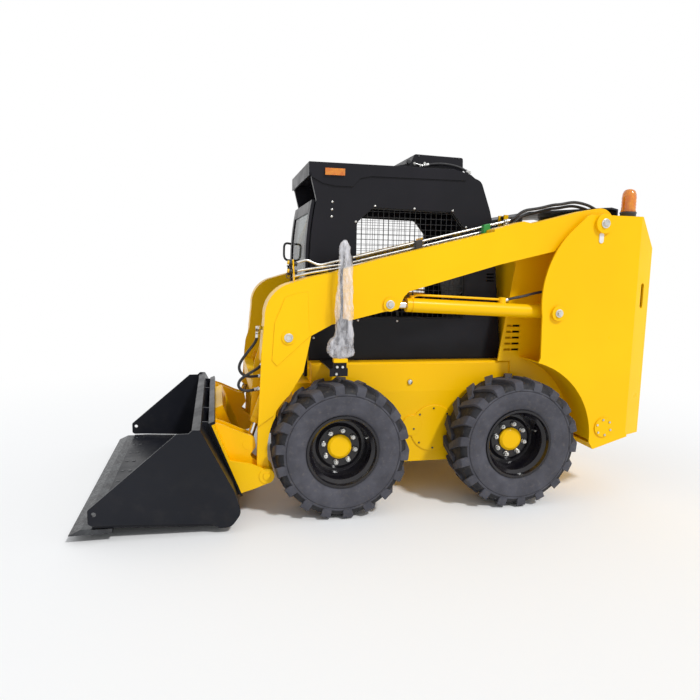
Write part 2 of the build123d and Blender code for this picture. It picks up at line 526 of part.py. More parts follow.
save("rear_window", box(-1150, -1030, -300 + SEAT, 300 - SEAT, 1420 + 2 * SEAT, 1790)
     & slab(((-1054, 1895), (-1084, 1790), (-1182, 905), (-1178, 905), (-1080, 1790)),
            -310, 310))

# roof visor with its cheeks
VISOR_Z = CAB_TOP_Z + 2 * SEAT
cheek = slab(((161, VISOR_Z + 6), (145, 2062), (72, 2026), (-6, 2013), (-119, 2013),
              (-168, 2067), (-237, 2082), (-879, 2085), (-877, 2132), (-790, VISOR_Z + 6)),
             CAB_Y + SEAT, CAB_Y + 9)
visor_top = box(-790, 161, -CAB_Y - 9, CAB_Y + 9, VISOR_Z, VISOR_Z + 6)
visor_lip = box(151, 161, -CAB_Y - 9, CAB_Y + 9, 2070, VISOR_Z + 6)
save("roof_visor", visor_top + visor_lip + cheek + mirror(cheek, Plane.XZ))
save("marker_lamps", both(box(-64, 61, CAB_Y + 9 + SEAT, CAB_Y + 24, 2076, 2118)))

# air conditioner on the roof
AC_Z = VISOR_Z + 6 + SEAT
save("roof_ac_unit", slab((
    (-404, AC_Z), (-404, AC_Z + 14), (-535, AC_Z + 46, 10), (-561, AC_Z + 104, 14),
    (-785, AC_Z + 99), (-785, AC_Z)), -300, 300) + slab((
        (-785, AC_Z), (-785, AC_Z + 99), (-901, AC_Z + 97, 14), (-905, AC_Z)), -300, 300))

# wire mesh behind each side window: frame, upright wires and level wires in two layers
MESH_OUT_Y = CAB_Y - 30 - SEAT
MESH_PITCH = 36.0
mesh_frame = slab(((-140, 1170), (-140, 1800), (-250, 1900), (-805, 1890), (-895, 1785),
                   (-930, 1170)), MESH_OUT_Y - 6, MESH_OUT_Y)
mesh_open = slab(((-155, 1185), (-155, 1792), (-257, 1884), (-797, 1875), (-881, 1779),
                  (-914, 1185)), MESH_OUT_Y - 7, MESH_OUT_Y + 1)
upright_layer = mesh_frame & box(-1000, 0, MESH_OUT_Y - 2.6, MESH_OUT_Y, 1100, 2000)
level_layer = mesh_frame & box(-1000, 0, MESH_OUT_Y - 5.6, MESH_OUT_Y - 3, 1100, 2000)
uprights = [box(-155 - n * MESH_PITCH - 1.3, -155 - n * MESH_PITCH + 1.3, 0, CAB_Y, 1172, 1898)
            & upright_layer for n in range(1, 21)]
levels = [box(-928, -142, 0, CAB_Y, 1185 + n * MESH_PITCH - 1.3, 1185 + n * MESH_PITCH + 1.3)
          & level_layer for n in range(1, 20)]
grid = (mesh_frame - mesh_open) + uprights + levels
save("window_meshes", both(grid))

# seat, arm boxes, levers and lap bar
cushion = fillet(box(-1045, -500, -240, 240, LEDGE_Z + SEAT, 1020).edges().filter_by(Axis.Y), 30)
backrest = slab(((-1010, 1020 + SEAT), (-930, 1020 + SEAT), (-985, 1560, 30), (-1050, 1560, 30)),
                -230, 230)
save("seat", cushion + backrest)
save("control_boxes", both(box(-860, -420, 290, CAB_Y - 35, LEDGE_Z + SEAT, 1130)))
save("control_levers", both(box(-500, -460, 315, 355, 1130 + SEAT, 1150)
                            + link((-480, 335, 1148), (-440, 335, 1290), 9)
                            + link((-442, 335, 1282), (-432, 335, 1350), 20)))
lap_arm = link((*LAP_PIVOT[:1], LAP_Y, LAP_PIVOT[1]), (-640, LAP_Y, 1240), 13) + link(
    (-640, LAP_Y, 1240), (-400, LAP_Y, 1230), 13) + bar(-640, 1240, 13, LAP_Y - 13, LAP_Y + 13)
lap_eye = bar(*LAP_PIVOT, 24, LAP_Y - 14, LAP_Y + 14)
lap_cross = bar(-400, 1230, 13, -LAP_Y - 13, LAP_Y + 13)
lap_arm = lap_arm + lap_eye - bar(*LAP_PIVOT, 12 + RUNNING, 200, 400)
save("lap_bar", lap_arm + mirror(lap_arm, Plane.XZ) + lap_cross)

# front door, hung on pins held by brackets on the right pillar
DOOR_Y = 405.0


def door_curve(back, front, low, high):
    """Side view of the door between two distances in front of the cab's front edge."""
    return ((150 + back, low), (150 + front, low), (150 + front, 1540), (139 + front, 1745, ARC),
            (112 + front, high), (112 + back, high), (139 + back, 1743, ARC),
            (150 + back, 1540))


door = slab(door_curve(6, 26, DOOR_LOW_Z, 1925), -DOOR_Y, DOOR_Y) - box(
    60, 240, -DOOR_Y + 70, DOOR_Y - 70, 950, 1850)
door_glass = slab(door_curve(13, 19, DOOR_LOW_Z, 1925), -DOOR_Y + 70 + SEAT, DOOR_Y - 70 - SEAT) & box(
    60, 240, -DOOR_Y, DOOR_Y, 950 + SEAT, 1850 - SEAT)
for z in KNUCKLES:
    leaf = box(174, DOOR_HINGE_X, DOOR_HINGE_Y, -380, z, z + 60)
    door = door + post(DOOR_HINGE_X, DOOR_HINGE_Y, 10, z, z + 60) + leaf - post(
        DOOR_HINGE_X, DOOR_HINGE_Y, HINGE_PIN_R + RUNNING, z - 10, z + 70)
save("front_door", door)
save("front_door_glass", door_glass)

# hood, hung on pins at the firewall
HOOD_Y = 525.0
hood = slab(((-1232, 1800), (-1232, 1866), (-1290, 1895), (-1900, 1945), (-1950, 1935),
             (-1950, 1860), (-1940, 1860), (-1940, 1926), (-1898, 1933), (-1292, 1883),
             (-1244, 1859), (-1244, 1800)), -HOOD_Y, HOOD_Y)
HOOD_HINGE_X = -1222.0
HOOD_HINGE_Z = 1872.0
for y in (-300, 300):
    hood = hood + bar(HOOD_HINGE_X, HOOD_HINGE_Z, 9, y - 35, y + 35) + box(
        -1240, HOOD_HINGE_X, y - 35, y + 35, 1850, HOOD_HINGE_Z)
    hood = hood - bar(HOOD_HINGE_X, HOOD_HINGE_Z, HINGE_PIN_R + RUNNING, y - 40, y + 40)
    engine_panels = engine_panels + [
        box(-1231, FIREWALL_X - SEAT, y - 47, y - 37, 1780, 1884),
        box(-1231, FIREWALL_X - SEAT, y + 37, y + 47, 1780, 1884),
        bar(HOOD_HINGE_X, HOOD_HINGE_Z, HINGE_PIN_R, y - 47, y + 47)]
save("hood", hood)

# rear door with its grille, hung on pins at the right
rear_door = box(-1985, TUB_REAR_X - CLEAR, -HOOD_Y, HOOD_Y, 572, 1845)
for n in range(11):
    z = 760 + n * 80.0
    rear_door = rear_door - box(-2000, -1940, -400, 400, z, z + 30)
REAR_HINGE_X = -1992.0
REAR_HINGE_Y = -534.0
for z in (690, 1630):
    leaf = box(REAR_HINGE_X, -1975, REAR_HINGE_Y, -500, z, z + 60)
    rear_door = rear_door + post(REAR_HINGE_X, REAR_HINGE_Y, 9, z, z + 60) + leaf - post(
        REAR_HINGE_X, REAR_HINGE_Y, HINGE_PIN_R + RUNNING, z - 10, z + 70)
    engine_panels = engine_panels + [
        box(-2002, TUB_REAR_X + 6, -BODY_Y, -528, z + 62, z + 74),
        post(REAR_HINGE_X, REAR_HINGE_Y, HINGE_PIN_R, z, z + 72)]
save("rear_door", rear_door)
save("engine_panels", engine_panels)

# beacon on the left tower: base and dome
dome = Pos(-1895, 700, TOWER_TOP_Z + 24 + SEAT) * Cylinder(
    56, 120, align=(Align.CENTER, Align.CENTER, Align.MIN))
dome = fillet(dome.edges().group_by(Axis.Z)[-1], 34)
save("beacon", dome + post(-1895, 700, 48, TOWER_TOP_Z + SEAT, TOWER_TOP_Z + 25))
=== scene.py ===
import json
import math

import bmesh
import bpy
from mathutils import Matrix, Vector, noise


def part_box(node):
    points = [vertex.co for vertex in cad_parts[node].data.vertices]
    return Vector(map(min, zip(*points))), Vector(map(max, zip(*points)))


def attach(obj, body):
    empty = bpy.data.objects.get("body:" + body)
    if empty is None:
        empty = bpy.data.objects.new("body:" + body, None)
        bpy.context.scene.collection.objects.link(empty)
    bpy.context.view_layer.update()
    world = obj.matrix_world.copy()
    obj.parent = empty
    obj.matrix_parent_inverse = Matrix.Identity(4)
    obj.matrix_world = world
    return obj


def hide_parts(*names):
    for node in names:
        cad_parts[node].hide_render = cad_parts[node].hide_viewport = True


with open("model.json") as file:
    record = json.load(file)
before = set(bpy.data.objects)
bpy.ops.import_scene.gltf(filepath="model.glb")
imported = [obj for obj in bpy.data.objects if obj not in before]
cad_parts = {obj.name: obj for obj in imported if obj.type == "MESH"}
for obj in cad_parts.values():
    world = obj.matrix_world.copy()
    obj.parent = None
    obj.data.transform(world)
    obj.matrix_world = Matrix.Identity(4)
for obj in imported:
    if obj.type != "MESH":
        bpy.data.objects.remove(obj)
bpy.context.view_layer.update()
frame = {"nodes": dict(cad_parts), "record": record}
record = frame["record"]

# ---- places -------------------------------------------------------------------
# Stations are metres from the front axle, +X forward, +Y to the machine's left.
AXLE = sum(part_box("hub_front_left"), Vector()) / 2


def station(x, y, z):
    return Vector((AXLE.x + x, y, z))


# ---- camera -------------------------------------------------------------------
CAMERA_AT = station(0.7372, 4.3037, 1.5154)
CAMERA_YAW, CAMERA_PITCH, CAMERA_ROLL = 0.2178, 0.1357, 0.0194
CAMERA_LENS = 31.535


def make_camera():
    data = bpy.data.cameras.new("camera")
    data.lens = CAMERA_LENS
    data.sensor_width = 36.0
    data.clip_start, data.clip_end = 0.05, 200.0
    camera = bpy.data.objects.new("camera", data)
    bpy.context.scene.collection.objects.link(camera)
    ahead = Vector((-math.sin(CAMERA_YAW) * math.cos(CAMERA_PITCH),
                    -math.cos(CAMERA_YAW) * math.cos(CAMERA_PITCH), -math.sin(CAMERA_PITCH)))
    level = Vector((-math.cos(CAMERA_YAW), math.sin(CAMERA_YAW), 0))
    above = level.cross(ahead)
    right = level * math.cos(CAMERA_ROLL) + above * math.sin(CAMERA_ROLL)
    up = above * math.cos(CAMERA_ROLL) - level * math.sin(CAMERA_ROLL)
    turn = Matrix((right, up, -ahead)).transposed()
    camera.matrix_world = Matrix.Translation(CAMERA_AT) @ turn.to_4x4()
    bpy.context.scene.camera = camera


# ---- materials ----------------------------------------------------------------
class Nodes:
    """A material's node tree, with short calls for the nodes used here."""

    def __init__(self, name):
        self.material = bpy.data.materials.new(name)
        self.material.use_nodes = True
        self.tree = self.material.node_tree
        self.shader = self.tree.nodes["Principled BSDF"]
        self.place = self.tree.nodes.new("ShaderNodeTexCoord").outputs["Object"]

    def set(self, **values):
        for key, value in values.items():
            self.shader.inputs[key.replace("_", " ")].default_value = value

    def join(self, source, target):
        self.tree.links.new(source, target)

    def put(self, source, socket):
        self.join(source, self.shader.inputs[socket])

    def noise(self, scale, detail=4.0, rough=0.55, stretch=None):
        node = self.tree.nodes.new("ShaderNodeTexNoise")
        node.inputs["Scale"].default_value = scale
        node.inputs["Detail"].default_value = detail
        node.inputs["Roughness"].default_value = rough
        source = self.place
        if stretch:
            mapping = self.tree.nodes.new("ShaderNodeMapping")
            mapping.inputs["Scale"].default_value = stretch
            self.join(source, mapping.inputs["Vector"])
            source = mapping.outputs["Vector"]
        self.join(source, node.inputs["Vector"])
        return node.outputs["Fac"]

    def ramp(self, source, low, high, start=0.0, end=1.0):
        node = self.tree.nodes.new("ShaderNodeMapRange")
        node.interpolation_type = "SMOOTHSTEP"
        for key, value in (("From Min", low), ("From Max", high), ("To Min", start),
                           ("To Max", end)):
            node.inputs[key].default_value = value
        self.join(source, node.inputs["Value"])
        return node.outputs["Result"]

    def mix(self, factor, a, b):
        node = self.tree.nodes.new("ShaderNodeMix")
        node.data_type = "RGBA"
        self.join(factor, node.inputs["Factor"])
        for value, socket in ((a, node.inputs[6]), (b, node.inputs[7])):
            if isinstance(value, tuple):
                socket.default_value = (*value, 1.0)
            else:
                self.join(value, socket)
        return node.outputs[2]

    def times(self, a, b):
        node = self.tree.nodes.new("ShaderNodeMath")
        node.operation = "MULTIPLY"
        self.join(a, node.inputs[0])
        if isinstance(b, float):
            node.inputs[1].default_value = b
        else:
            self.join(b, node.inputs[1])
        return node.outputs[0]

    def blend(self, factor, under, over):
        """The surface is one shader over another, by a factor."""
        node = self.tree.nodes.new("ShaderNodeMixShader")
        for source, socket in zip((factor, under, over), node.inputs):
            self.join(source, socket)
        self.join(node.outputs[0], self.tree.nodes["Material Output"].inputs["Surface"])

    def height(self):
        split = self.tree.nodes.new("ShaderNodeSeparateXYZ")
        self.join(self.tree.nodes.new("ShaderNodeNewGeometry").outputs["Position"],
                  split.inputs[0])
        return split.outputs["Z"]

    def bump(self, source, strength, distance, edge=0.0):
        """Bump from a height, over edges rounded by a radius."""
        node = self.tree.nodes.new("ShaderNodeBump")
        node.inputs["Strength"].default_value = strength
        node.inputs["Distance"].default_value = distance
        self.join(source, node.inputs["Height"])
        if edge:
            bevel = self.tree.nodes.new("ShaderNodeBevel")
            bevel.samples = 4
            bevel.inputs["Radius"].default_value = edge
            self.join(bevel.outputs["Normal"], node.inputs["Normal"])
        self.put(node.outputs["Normal"], "Normal")


DUST = (0.42, 0.36, 0.28)


def paint(name, colour, dark, rough, coat, edge=0.003, peel=0.05, dust=0.25):
    """Sprayed paint: slight tone changes, orange peel, scuffs in the gloss and dust low down."""
    n = Nodes(name)
    n.set(Metallic=0.0, Coat_Weight=coat, Coat_Roughness=0.12, IOR=1.45,
          Specular_IOR_Level=0.2)
    tone = n.mix(n.ramp(n.noise(1.3, 3.0), 0.35, 0.7), dark, colour)
    low = n.times(n.ramp(n.height(), 0.55, 0.05), n.ramp(n.noise(9.0, 6.0), 0.42, 0.75, 0.0, dust))
    n.put(n.mix(low, tone, DUST), "Base Color")
    n.put(n.ramp(n.noise(5.0, 6.0, 0.65), 0.3, 0.75, rough * 0.8, rough * 1.35), "Roughness")
    n.bump(n.noise(260.0, 2.0), peel, 0.0006, edge)
    return n.material


def rubber(name, colour, light, dust, rough=0.72, grain=420.0):
    n = Nodes(name)
    n.set(Metallic=0.0, Specular_IOR_Level=0.35)
    tone = n.mix(n.ramp(n.noise(7.0, 5.0), 0.35, 0.7), colour, light)
    spots = n.ramp(n.noise(38.0, 8.0, 0.7), 0.5, 0.78, 0.0, dust)
    n.put(n.mix(spots, tone, DUST), "Base Color")
    n.put(n.ramp(n.noise(22.0, 5.0), 0.3, 0.7, rough * 0.85, min(1.0, rough * 1.15)), "Roughness")
    n.bump(n.noise(grain, 3.0), 0.25, 0.0008)
    return n.material


def metal(name, colour, dark, rough, scratch=0.1, stretch=(1.0, 1.0, 1.0), edge=0.0):
    n = Nodes(name)
    n.set(Metallic=1.0)
    n.put(n.mix(n.ramp(n.noise(12.0, 5.0, stretch=stretch), 0.35, 0.7), colour, dark),
          "Base Color")
    n.put(n.ramp(n.noise(60.0, 6.0, 0.7, stretch), 0.3, 0.75, rough * 0.7, rough * 1.5),
          "Roughness")
    n.bump(n.noise(240.0, 3.0, stretch=stretch), scratch, 0.0005, edge)
    return n.material


def plastic(name, colour, dark, rough, grain=300.0, bump=0.15):
    n = Nodes(name)
    n.put(n.mix(n.ramp(n.noise(6.0), 0.35, 0.7), colour, dark), "Base Color")
    n.put(n.ramp(n.noise(30.0), 0.3, 0.7, rough * 0.85, rough * 1.2), "Roughness")
    n.bump(n.noise(grain, 3.0), bump, 0.0006, 0.0015)
    return n.material


def leather(name, colour, dark):
    n = Nodes(name)
    n.put(n.mix(n.ramp(n.noise(14.0), 0.35, 0.7), colour, dark), "Base Color")
    n.put(n.ramp(n.noise(40.0), 0.3, 0.7, 0.42, 0.6), "Roughness")
    cells = n.tree.nodes.new("ShaderNodeTexVoronoi")
    cells.inputs["Scale"].default_value = 320.0
    n.join(n.place, cells.inputs["Vector"])
    n.bump(cells.outputs["Distance"], 0.35, 0.0006)
    return n.material


def glass(name, tint, clear, rough=0.02):
    """Thin glazing that lets straight light through, with a gloss on top."""
    n = Nodes(name)
    n.set(Base_Color=(*tint, 1.0), Roughness=rough, Transmission_Weight=1.0, IOR=1.45)
    through = n.tree.nodes.new("ShaderNodeBsdfTransparent")
    through.inputs["Color"].default_value = (*clear, 1.0)
    gloss = n.tree.nodes.new("ShaderNodeLayerWeight")
    gloss.inputs["Blend"].default_value = 0.25
    n.blend(n.ramp(gloss.outputs["Facing"], 0.2, 1.0, 0.12, 0.9), through.outputs[0],
            n.shader.outputs[0])
    return n.material


def lens(name, colour, deep):
    """Ribbed lamp lens, coloured through."""
    n = Nodes(name)
    n.set(Roughness=0.12, Transmission_Weight=0.35, IOR=1.49, Coat_Weight=0.6)
    n.put(n.mix(n.ramp(n.noise(30.0, 2.0), 0.35, 0.7), colour, deep), "Base Color")
    n.bump(n.noise(90.0, 1.0, stretch=(0.2, 0.2, 1.0)), 0.3, 0.001)
    return n.material


def film(name, tint, cover):
    """Thin crinkled plastic film, milky where it folds."""
    n = Nodes(name)
    n.set(Base_Color=(*tint, 1.0), Roughness=0.16, IOR=1.4, Coat_Weight=0.6)
    folds = n.noise(30.0, 6.0, 0.62, (1.0, 1.0, 0.28))
    n.bump(folds, 0.9, 0.008)
    clear = n.tree.nodes.new("ShaderNodeBsdfTransparent")
    n.blend(n.ramp(folds, 0.38, 0.66, cover * 0.45, min(1.0, cover * 1.5)), clear.outputs[0],
            n.shader.outputs[0])
    return n.material


LOOKS = {
    "body_paint": paint("body_yellow", (0.97, 0.57, 0.0), (0.95, 0.53, 0.0), 0.34, 0.04,
                        dust=0.02),
    "cab_paint": paint("cab_black", (0.011, 0.01, 0.015), (0.008, 0.008, 0.011), 0.36, 0.06,
                       dust=0.0),
    "bucket_paint": paint("bucket_black", (0.011, 0.012, 0.017), (0.008, 0.009, 0.013), 0.36,
                          0.06, dust=0.02),
    "rim_paint": paint("rim_black", (0.009, 0.008, 0.011), (0.007, 0.006, 0.009), 0.16, 0.6,
                       peel=0.03, dust=0.04),
    "hood_paint": paint("hood_black", (0.03, 0.036, 0.045), (0.022, 0.026, 0.034), 0.4, 0.1,
                        dust=0.05),
    "tyre_rubber": rubber("tyre_rubber", (0.05, 0.05, 0.062), (0.075, 0.075, 0.092), 0.12),
    "hose_rubber": rubber("hose_rubber", (0.018, 0.018, 0.02), (0.03, 0.03, 0.034), 0.1, 0.55),
    "edge_steel": metal("edge_steel", (0.1, 0.105, 0.11), (0.06, 0.06, 0.064), 0.42,
                        edge=0.002),
    "rod_chrome": metal("rod_chrome", (0.8, 0.8, 0.81), (0.74, 0.74, 0.75), 0.1, 0.02),
    "mesh_wire": plastic("mesh_wire", (0.022, 0.022, 0.024), (0.03, 0.03, 0.032), 0.5),
    "window_glass": glass("window_glass", (0.5, 0.55, 0.55), (0.5, 0.54, 0.54)),
    "seat_vinyl": leather("seat_vinyl", (0.022, 0.022, 0.024), (0.034, 0.034, 0.037)),
    "lamp_amber": lens("lamp_amber", (0.95, 0.33, 0.01), (0.8, 0.2, 0.005)),
    "engine_iron": metal("engine_iron", (0.1, 0.1, 0.105), (0.06, 0.06, 0.06), 0.6, 0.3),
    "black_plastic": plastic("black_plastic", (0.025, 0.025, 0.027), (0.035, 0.035, 0.038), 0.45),
    "film_wrap": film("film_wrap", (0.95, 0.94, 0.99), 0.36),
}
# darker copy of the tyre rubber for the carcass between the tread bars and in the sidewall groove:
# painted shade in those recesses
LUG_GAP_SHADE = rubber("lug_gap_painted_shade", (0.012, 0.012, 0.015), (0.02, 0.02, 0.025), 0.15)
LAMP_RED = lens("lamp_red", (0.6, 0.012, 0.008), (0.4, 0.006, 0.004))
ZINC = metal("zinc", (0.72, 0.72, 0.7), (0.5, 0.5, 0.48), 0.28, 0.05)
TUBE_STEEL = metal("tube_steel", (0.74, 0.73, 0.7), (0.55, 0.54, 0.52), 0.3, 0.05)
GREEN = plastic("green_plastic", (0.02, 0.3, 0.06), (0.015, 0.22, 0.04), 0.4)
CAP_YELLOW = plastic("cap_yellow", (0.9, 0.55, 0.02), (0.8, 0.47, 0.02), 0.4)
WHITE = plastic("white_plastic", (0.8, 0.79, 0.76), (0.72, 0.7, 0.67), 0.4)


def slot_look(obj, slot, material=None):
    obj.data.materials.clear()
    obj.data.materials.append(material or LOOKS[slot])


def dress_cad():
    """Each CAD node takes the look of its slot in the record."""
    for part in record["subparts"]:
        obj = frame["nodes"][part["node"]]
        slot_look(obj, part["material_slot"])


# ---- making pieces ------------------------------------------------------------
def piece(name, mesh, body, slot, material=None, smooth=True):
    obj = bpy.data.objects.new(name, mesh)
    bpy.context.scene.collection.objects.link(obj)
    slot_look(obj, slot, material)
    if smooth:
        for polygon in mesh.polygons:
            polygon.use_smooth = True
    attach(obj, body)
    return obj


def mesh_of(bm, name):
    bmesh.ops.recalc_face_normals(bm, faces=bm.faces)
    mesh = bpy.data.meshes.new(name)
    bm.to_mesh(mesh)
    bm.free()
    return mesh


def sharpen(obj, degrees=35.0, width=0.0, segments=2):
    """Bevels the edges that turn by more than an angle and keeps flats flat."""
    if width:
        bevel = obj.modifiers.new("bevel", "BEVEL")
        bevel.width, bevel.segments = width, segments
        bevel.limit_method, bevel.angle_limit = "ANGLE", math.radians(degrees)
        bevel.harden_normals = True
    weighted = obj.modifiers.new("normals", "WEIGHTED_NORMAL")
    weighted.keep_sharp = True
    return obj


def build(bm, name, body, slot, material=None, smooth=True, degrees=35.0, width=0.0,
          segments=2):
    """Turns a mesh under construction into a piece with worked edges."""
    obj = piece(name, mesh_of(bm, name), body, slot, material, smooth)
    return sharpen(obj, degrees, width, segments)


def ring_at(bm, place, radius, along, count, turn=0.0):
    """Ring of corners about local Y."""
    angles = [turn + 2 * math.pi * n / count for n in range(count)]
    return [bm.verts.new(place @ Vector((radius * math.cos(a), along, radius * math.sin(a))))
            for a in angles]


def stitch(bm, lower, upper):
    """Closes the strip between two rings."""
    for n in range(len(lower)):
        m = (n + 1) % len(lower)
        bm.faces.new((lower[n], lower[m], upper[m], upper[n]))


def lathe(bm, rows, count, place=Matrix.Identity(4), closed=True, turn=0.0):
    """Revolves rows of (radius, along) about local Y."""
    rings = [ring_at(bm, place, radius, along, count, turn) for radius, along in rows]
    for lower, upper in zip(rings, rings[1:]):
        stitch(bm, lower, upper)
    if closed:
        stitch(bm, rings[-1], rings[0])
    return rings


# ---- tyres --------------------------------------------------------------------
WHEEL_Y = 0.7135            # middle plane of a wheel, where the nuts seat
TYRE_STEPS = 144
SHADE_FROM = 0.360          # radius from which the carcass between the tread bars is painted darker, as painted shade
# band of the sidewall groove, painted dark as painted shade in the groove
GROOVE_SHADE_BAND = (0.3425, 0.3455)
LUGS = 18                   # bars in each half of the tread
LUG_REACH = 0.4             # radius at which a bar's length is measured
LUG_LEAN = math.radians(27)
SIDEWALL = (
    (0.2125, 0.114), (0.2205, 0.1235), (0.2235, 0.1290), (0.2265, 0.1300), (0.238, 0.1375),
    (0.252, 0.1435), (0.268, 0.1480), (0.286, 0.1506), (0.2985, 0.1514), (0.3010, 0.1530),
    (0.318, 0.1534), (0.333, 0.1526), (0.3400, 0.1510), (0.3425, 0.1476), (0.3455, 0.1476),
    (0.3475, 0.1500), (0.357, 0.1480), (0.369, 0.1425), (0.381, 0.1345), (0.3895, 0.1235),
    (0.3940, 0.108), (0.3960, 0.07), (0.3970, 0.03),
)
# stations over a tread bar from the middle: y, top radius, foot radius, half width, along
LUG_ROWS = (
    (-0.020, 0.4150, 0.382, 0.0180, 0.000), (0.020, 0.4160, 0.382, 0.0205, 0.000),
    (0.062, 0.4162, 0.382, 0.0225, 0.000), (0.096, 0.4155, 0.380, 0.0260, 0.000),
    (0.130, 0.4120, 0.374, 0.0290, -0.002), (0.1460, 0.4030, 0.366, 0.0290, -0.005),
    (0.1532, 0.3800, 0.356, 0.0265, -0.008), (0.1520, 0.3560, 0.350, 0.0225, -0.010),
)


def lug_points(side, start):
    """Corner rings of one bar, wrapped round the tyre."""
    rings = []
    for y, top, foot, half, push in LUG_ROWS:
        along = math.tan(LUG_LEAN) * (y - 0.062) + push
        ring = []
        for radius, across in ((foot, -half - 0.004), (top, -half), (top, half),
                               (foot, half + 0.004)):
            a = start + (along + across) / LUG_REACH
            ring.append(Vector((radius * math.cos(a), side * y, radius * math.sin(a))))
        rings.append(ring)
    return rings


def make_tyre(name, x, side):
    bm = bmesh.new()
    rows = list(SIDEWALL) + [(r, -y) for r, y in reversed(SIDEWALL)]
    lathe(bm, rows, TYRE_STEPS)
    carcass = len(bm.faces)
    for half in (1, -1):
        for n in range(LUGS):
            start = 2 * math.pi * (n + (0.5 if half < 0 else 0.0)) / LUGS
            rings = [[bm.verts.new(p) for p in ring] for ring in lug_points(half, start)]
            for lower, upper in zip(rings, rings[1:]):
                stitch(bm, lower, upper)
            bm.faces.new(rings[0])
            bm.faces.new(rings[-1])
    mesh = mesh_of(bm, "tyre_rubber_" + name)
    mesh.transform(Matrix.Translation(Vector((x, side * WHEEL_Y, AXLE.z)))
                   @ (Matrix.Identity(4) if side > 0 else Matrix.Rotation(math.pi, 4, "Z")))
    obj = piece("tyre_rubber_" + name, mesh, "wheel_" + name, "tyre_rubber")
    mesh.materials.append(LUG_GAP_SHADE)
    # carcass faces past the shade radius or in the groove take the darker rubber as painted shade
    # between the bars and in the groove; the bars keep the plain rubber
    for polygon in mesh.polygons[:carcass]:
        reach = math.hypot(polygon.center.x - x, polygon.center.z - AXLE.z)
        dark = reach > SHADE_FROM or GROOVE_SHADE_BAND[0] < reach < GROOVE_SHADE_BAND[1]
        polygon.material_index = 1 if dark else 0
    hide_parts("tyre_" + name)
    sharpen(obj, 32.0, 0.0022)


WHEEL_NUTS = 8
NUT_RING = 0.1016           # radius of the circle of nuts
VALVE_RING = 0.172          # distance of the valve from the axle
VALVE_ANGLE = math.radians(162)


def hexagon(bm, centre, across, low, high, turn, cone):
    """Hexagonal nut along Y with a chamfered top and a coned washer under it."""
    corner = across / math.sqrt(3)
    place = Matrix.Translation(centre)
    rings = lathe(bm, ((corner, low), (corner, high - 0.002), (corner * 0.86, high)), 6,
                  place, closed=False, turn=turn)
    bm.faces.new(rings[-1])
    lathe(bm, ((cone, low - 0.001), (cone, low + 0.002), (corner * 0.8, low + 0.006)),
          24, place, closed=False)


def stud(bm, centre, rows):
    """Round pin along Y, closed at its outer end."""
    rings = lathe(bm, rows, 16, Matrix.Translation(centre), closed=False)
    bm.faces.new(rings[-1])


def wheel_fastenings(name, x, side):
    """Eight nuts with studs, and the valve."""
    bm = bmesh.new()
    for n in range(WHEEL_NUTS):
        a = 2 * math.pi * n / WHEEL_NUTS + 0.2
        centre = Vector((NUT_RING * math.cos(a), 0, NUT_RING * math.sin(a)))
        hexagon(bm, centre, 0.027, 0.004, 0.022, a, 0.0185)
        stud(bm, centre, ((0.008, 0.02), (0.008, 0.032), (0.0065, 0.034)))
    centre = Vector((VALVE_RING * math.cos(VALVE_ANGLE), 0, VALVE_RING * math.sin(VALVE_ANGLE)))
    stud(bm, centre, ((0.0075, -0.006), (0.0075, 0.012), (0.005, 0.016), (0.005, 0.034),
                      (0.0042, 0.038)))
    mesh = mesh_of(bm, "wheel_nuts_" + name)
    turn = Matrix.Identity(4) if side > 0 else Matrix.Scale(-1, 4, (0, 1, 0))
    mesh.transform(Matrix.Translation(Vector((x, side * WHEEL_Y, AXLE.z))) @ turn)
    if side < 0:
        mesh.flip_normals()
    sharpen(piece("wheel_nuts_" + name, mesh, "wheel_" + name, "rod_chrome", ZINC))


def make_wheels():
    for name, side in (("front_left", 1), ("front_right", -1), ("rear_left", 1),
                       ("rear_right", -1)):
        centre = sum(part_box("hub_" + name), Vector()) / 2
        make_tyre(name, centre.x, side)
        wheel_fastenings(name, centre.x, side)


# ---- hoses and pipes ----------------------------------------------------------
def route(name, points, radius, body, slot, material=None):
    """Round tube along one open spline, with listed control points."""
    data = bpy.data.curves.new(name, "CURVE")
    data.dimensions = "3D"
    data.bevel_depth = radius
    data.bevel_resolution = 4
    data.use_fill_caps = True
    spline = data.splines.new("NURBS")
    spline.points.add(len(points) - 1)
    for point, place in zip(spline.points, points):
        point.co = (*place, 1.0)
    spline.order_u = 3
    spline.use_endpoint_u = True
    spline.resolution_u = 10
    obj = bpy.data.objects.new(name, data)
    bpy.context.scene.collection.objects.link(obj)
    slot_look(obj, slot, material)
    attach(obj, body)
    return obj


def path(y, rows):
    """Points of (x, z) in one plane beside the machine's middle."""
    return [station(x, y, z) for x, z in rows]


def facing(at, direction):
    """Turns local Y to a direction, at a point."""
    turn = Vector(direction).to_track_quat("Y", "Z").to_matrix().to_4x4()
    return Matrix.Translation(at) @ turn


def turned_part(bm, rows, at, direction, count=24):
    """Solid of revolution from rows of (radius, along), closed at both ends."""
    rings = lathe(bm, rows, count, facing(at, direction), closed=False)
    bm.faces.new(rings[0])
    bm.faces.new(rings[-1])


def hex_part(bm, across, low, high, at, direction, turn=0.0):
    """Bolt head or nut with a chamfered top, closed at both ends."""
    corner = across / math.sqrt(3)
    rings = lathe(bm, ((corner, low), (corner, high - 0.12 * across), (corner * 0.88, high)),
                  6, facing(at, direction), closed=False, turn=turn)
    bm.faces.new(rings[0])
    bm.faces.new(rings[-1])


def hose_ends(name, points, radius, body):
    """Crimped sleeve and nut at each end of a hose."""
    bm = bmesh.new()
    for end, before in ((points[0], points[1]), (points[-1], points[-2])):
        out = (end - before).normalized()
        turned_part(bm, ((radius * 1.25, -0.006), (radius * 1.4, -0.003), (radius * 1.4, 0.016),
                         (radius * 1.2, 0.02)), end - out * 0.012, out)
        hex_part(bm, radius * 2.9, 0.006, 0.02, end, out)
    return build(bm, name, body, "rod_chrome", ZINC)


